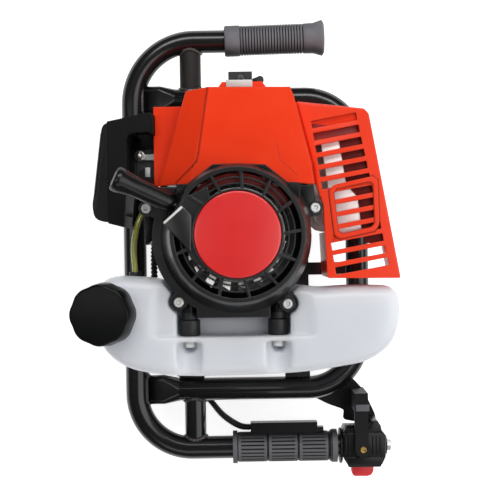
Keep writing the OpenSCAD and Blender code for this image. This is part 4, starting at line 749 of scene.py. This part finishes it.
# Painted highlight: lighter towards the top of each sleeve, as if lit from above, and the upper sleeve lighter
# still.
upper_side = grip_place.math("GREATER_THAN", grip_y, 0)
sheen_tone = grip_place.mix(upper_side, tint(102, 101, 105), tint(114, 114, 119))
sheen_slope, sheen_start = 110, 0.75
painted_sheen = grip_place.math("SUBTRACT", grip_z * sheen_slope, sheen_start, True) * (grip_drift * 0.5 + 0.7)
sheened_rubber = grip_place.mix(painted_sheen, base_rubber, sheen_tone)
grip_place.mix(groove_darkening, sheened_rubber, tint(16, 16, 17)).feed(grip_shader, "Base Color")
(grip_drift * 0.15 + 0.42).feed(grip_shader, "Roughness")
grip_skin = grip_place.noise(900.0, 2.0)
grip_round = grip_place.node("Bevel", {"samples": 4}, {"Radius": 0.0007})
grip_place.node("Bump", {}, {"Strength": 0.3, "Distance": 0.0001, "Height": grip_skin, "Normal": grip_round}).feed(
    grip_shader, "Normal")
upper_sleeve = copied("upper_grip")
bmesh.ops.rotate(upper_sleeve, verts=upper_sleeve.verts, cent=(upper_start, upper_y, frame_z),
                 matrix=Matrix.Rotation(upper_lean, 3, "Z"))
bmesh.ops.translate(upper_sleeve, verts=upper_sleeve.verts, vec=(upper_shift, 0, 0))
keep(upper_sleeve, "upper_sleeve", grip_rubber, "frame", "grip_rubber", "upper_grip")
lower_sleeve = copied("lower_grip")
sleeve_start = min(v.co.x for v in lower_sleeve.verts)
sleeve_length = max(v.co.x for v in lower_sleeve.verts) - sleeve_start
first_ring, block_start, block_stretch, ring_squeeze = 0.0055, 0.006, 0.0075, 0.25
blocks_end, rings_end = sleeve_length - 0.014, sleeve_length - 0.008
rings_from, rings_to = sleeve_length - 0.016, sleeve_length - 0.0085
for vert in lower_sleeve.verts:
    along = vert.co.x - sleeve_start
    if first_ring < along < blocks_end:
        vert.co.x += (along - block_start) * block_stretch / (rings_from - block_start)
    elif first_ring < along < rings_end:
        vert.co.x = sleeve_start + rings_to + (along - rings_from) * ring_squeeze
keep(lower_sleeve, "lower_sleeve", grip_rubber, "frame", "grip_rubber", "lower_grip")

# Throttle clamp: two moulded halves screwed round the lower handle, with a neck for the trigger's post,
# a box for the stop switch, finger ribs and a flange against the grip. The trigger has a rubber pad.
trigger_black = surface("trigger_black", (11, 11, 12), (18, 18, 19), (36, 36, 38),
                        rough=0.5, grain=900, depth=0.0001, soft=0.0012, sockets={"Specular IOR Level": 0.2})
dress(trigger_black, "throttle_trigger")
pad = [(0.125, -0.1946), (0.14, -0.1946), (0.14, -0.187), (0.125, -0.187)]
keep(prism(pad, 0.0925, 0.0945, 0.0007), "trigger_pad", grip_rubber, "trigger", "black_plastic")
clamp = [(0.1115, -0.2215), (0.116, -0.2185), (0.1555, -0.2185), (0.159, -0.2225), (0.159, -0.2465),
         (0.1545, -0.256), (0.1165, -0.256), (0.1115, -0.2475)]
keep(prism(clamp, 0.0652, 0.086, 0.0025), "clamp_front", black_plastic, "frame", "black_plastic", "throttle_front")
keep(prism(clamp, 0.044, 0.0648, 0.0025), "clamp_rear", black_plastic, "frame", "black_plastic", "throttle_rear")
clamp_neck = [(0.112, -0.2195), (0.155, -0.2195), (0.1535, -0.212), (0.15, -0.2065), (0.1425, -0.2065),
              (0.14, -0.2145), (0.114, -0.2145)]
keep(prism(clamp_neck, 0.05, 0.0855, 0.001), "clamp_neck", black_plastic, "frame", "black_plastic")
switch_box = [(0.113, -0.2455), (0.156, -0.2455), (0.153, -0.2575), (0.117, -0.2575)]
keep(prism(switch_box, 0.05, 0.0875, 0.0015), "switch_box", black_plastic, "frame", "black_plastic")
rib_width = 0.002
for number, x in enumerate((0.1135, 0.1175, 0.1435, 0.1475, 0.1515)):
    rib = [(x, -0.2435), (x + rib_width, -0.2435), (x + rib_width, -0.223), (x, -0.223)]
    keep(prism(rib, 0.084, 0.0866, 0.0004), f"clamp_rib_{number}", black_plastic, "frame", "black_plastic")
rim_profile = [(tube_r, 0), (0.019, 0), (0.02, 0.0008), (0.02, 0.0022), (0.019, 0.003), (tube_r, 0.003),
               (tube_r, 0)]
quarter_turn = Matrix.Rotation(math.radians(90), 4, "Y")
keep(turned(rim_profile, 64, Matrix.Translation((0.1085, lower_y, frame_z)) @ quarter_turn), "clamp_flange",
     black_plastic, "frame", "black_plastic")

# Throttle conduit: ribbed black plastic tube round the throttle wire, from the strap along the lower
# grip, under the loop and behind the tank, to the carburettor.
dress(black_plastic, "cable_cover")
conduit_line = through([(33, -214.75, 65), (13, -214.75, 65), (-3, -213.75, 62), (-22, -203.75, 49),
                        (-38, -187, 40), (-56, -171, 39), (-78, -149, 43), (-91, -118, 63), (-93, -88, 90),
                        (-93, -50, 104), (-92, -8, 110), (-87, 26, 116), (-79, 45, 125), (-79, 56.4, 126)], 40)
conduit_length = run_length(conduit_line)
ribs = [0.0034 + 0.0006 * math.cos(k * math.tau / 4) for k in range(len(conduit_line))]
conduit = keep(swept(conduit_line, ribs, 14), "ribbed_conduit", black_plastic, "frame", "black_plastic",
               "throttle_conduit", crease=80)

# Screws and stop switch: a brass pivot screw in the clamp, a plated bolt with a black washer in the bar
# end, and a red moulded slider on the clamp's switch box.
brass = surface("brass", (150, 118, 60), (186, 152, 84), (214, 190, 130),
                rough=0.35, grain=500, depth=0.0001, soft=0.0005, sockets={"Metallic": 0.9})
pivot = [(0, 0.0935), (0.0012, 0.093), (0.0016, 0.0943), (0.0028, 0.0945), (0.0036, 0.0938), (0.0036, 0.09),
         (0, 0.09)]
keep(turned(pivot, 32, Matrix.Translation((0.133, lower_y, 0))), "pivot_screw", brass, "frame", "bare_steel",
     "throttle_screws")
bar_end = Matrix.Translation((0, lower_y, frame_z)) @ quarter_turn
keep(prism(hexagon(0.0068), 0.1618, 0.1668, 0.0006, bar_end), "end_bolt", plated_steel, "frame", "bare_steel")
washer = [(0, 0.1588), (0.0105, 0.1588), (0.0112, 0.1596), (0.0112, 0.161), (0.0105, 0.1618), (0, 0.1618)]
keep(turned(washer, 48, bar_end), "end_washer", black_plastic, "frame", "black_plastic")
switch_red = surface("switch_red", (222, 34, 40), (234, 46, 50), (240, 80, 80),
                     rough=0.4, grain=700, depth=0.0001, soft=0.001)
slider = [(0.122, -0.258), (0.1465, -0.258), (0.1462, -0.2655), (0.1435, -0.2695), (0.139, -0.2708),
          (0.1245, -0.2705), (0.122, -0.2675)]
keep(prism(slider, 0.0565, 0.0735, 0.0014), "stop_slider", switch_red, "switch", "switch_red", "stop_switch")
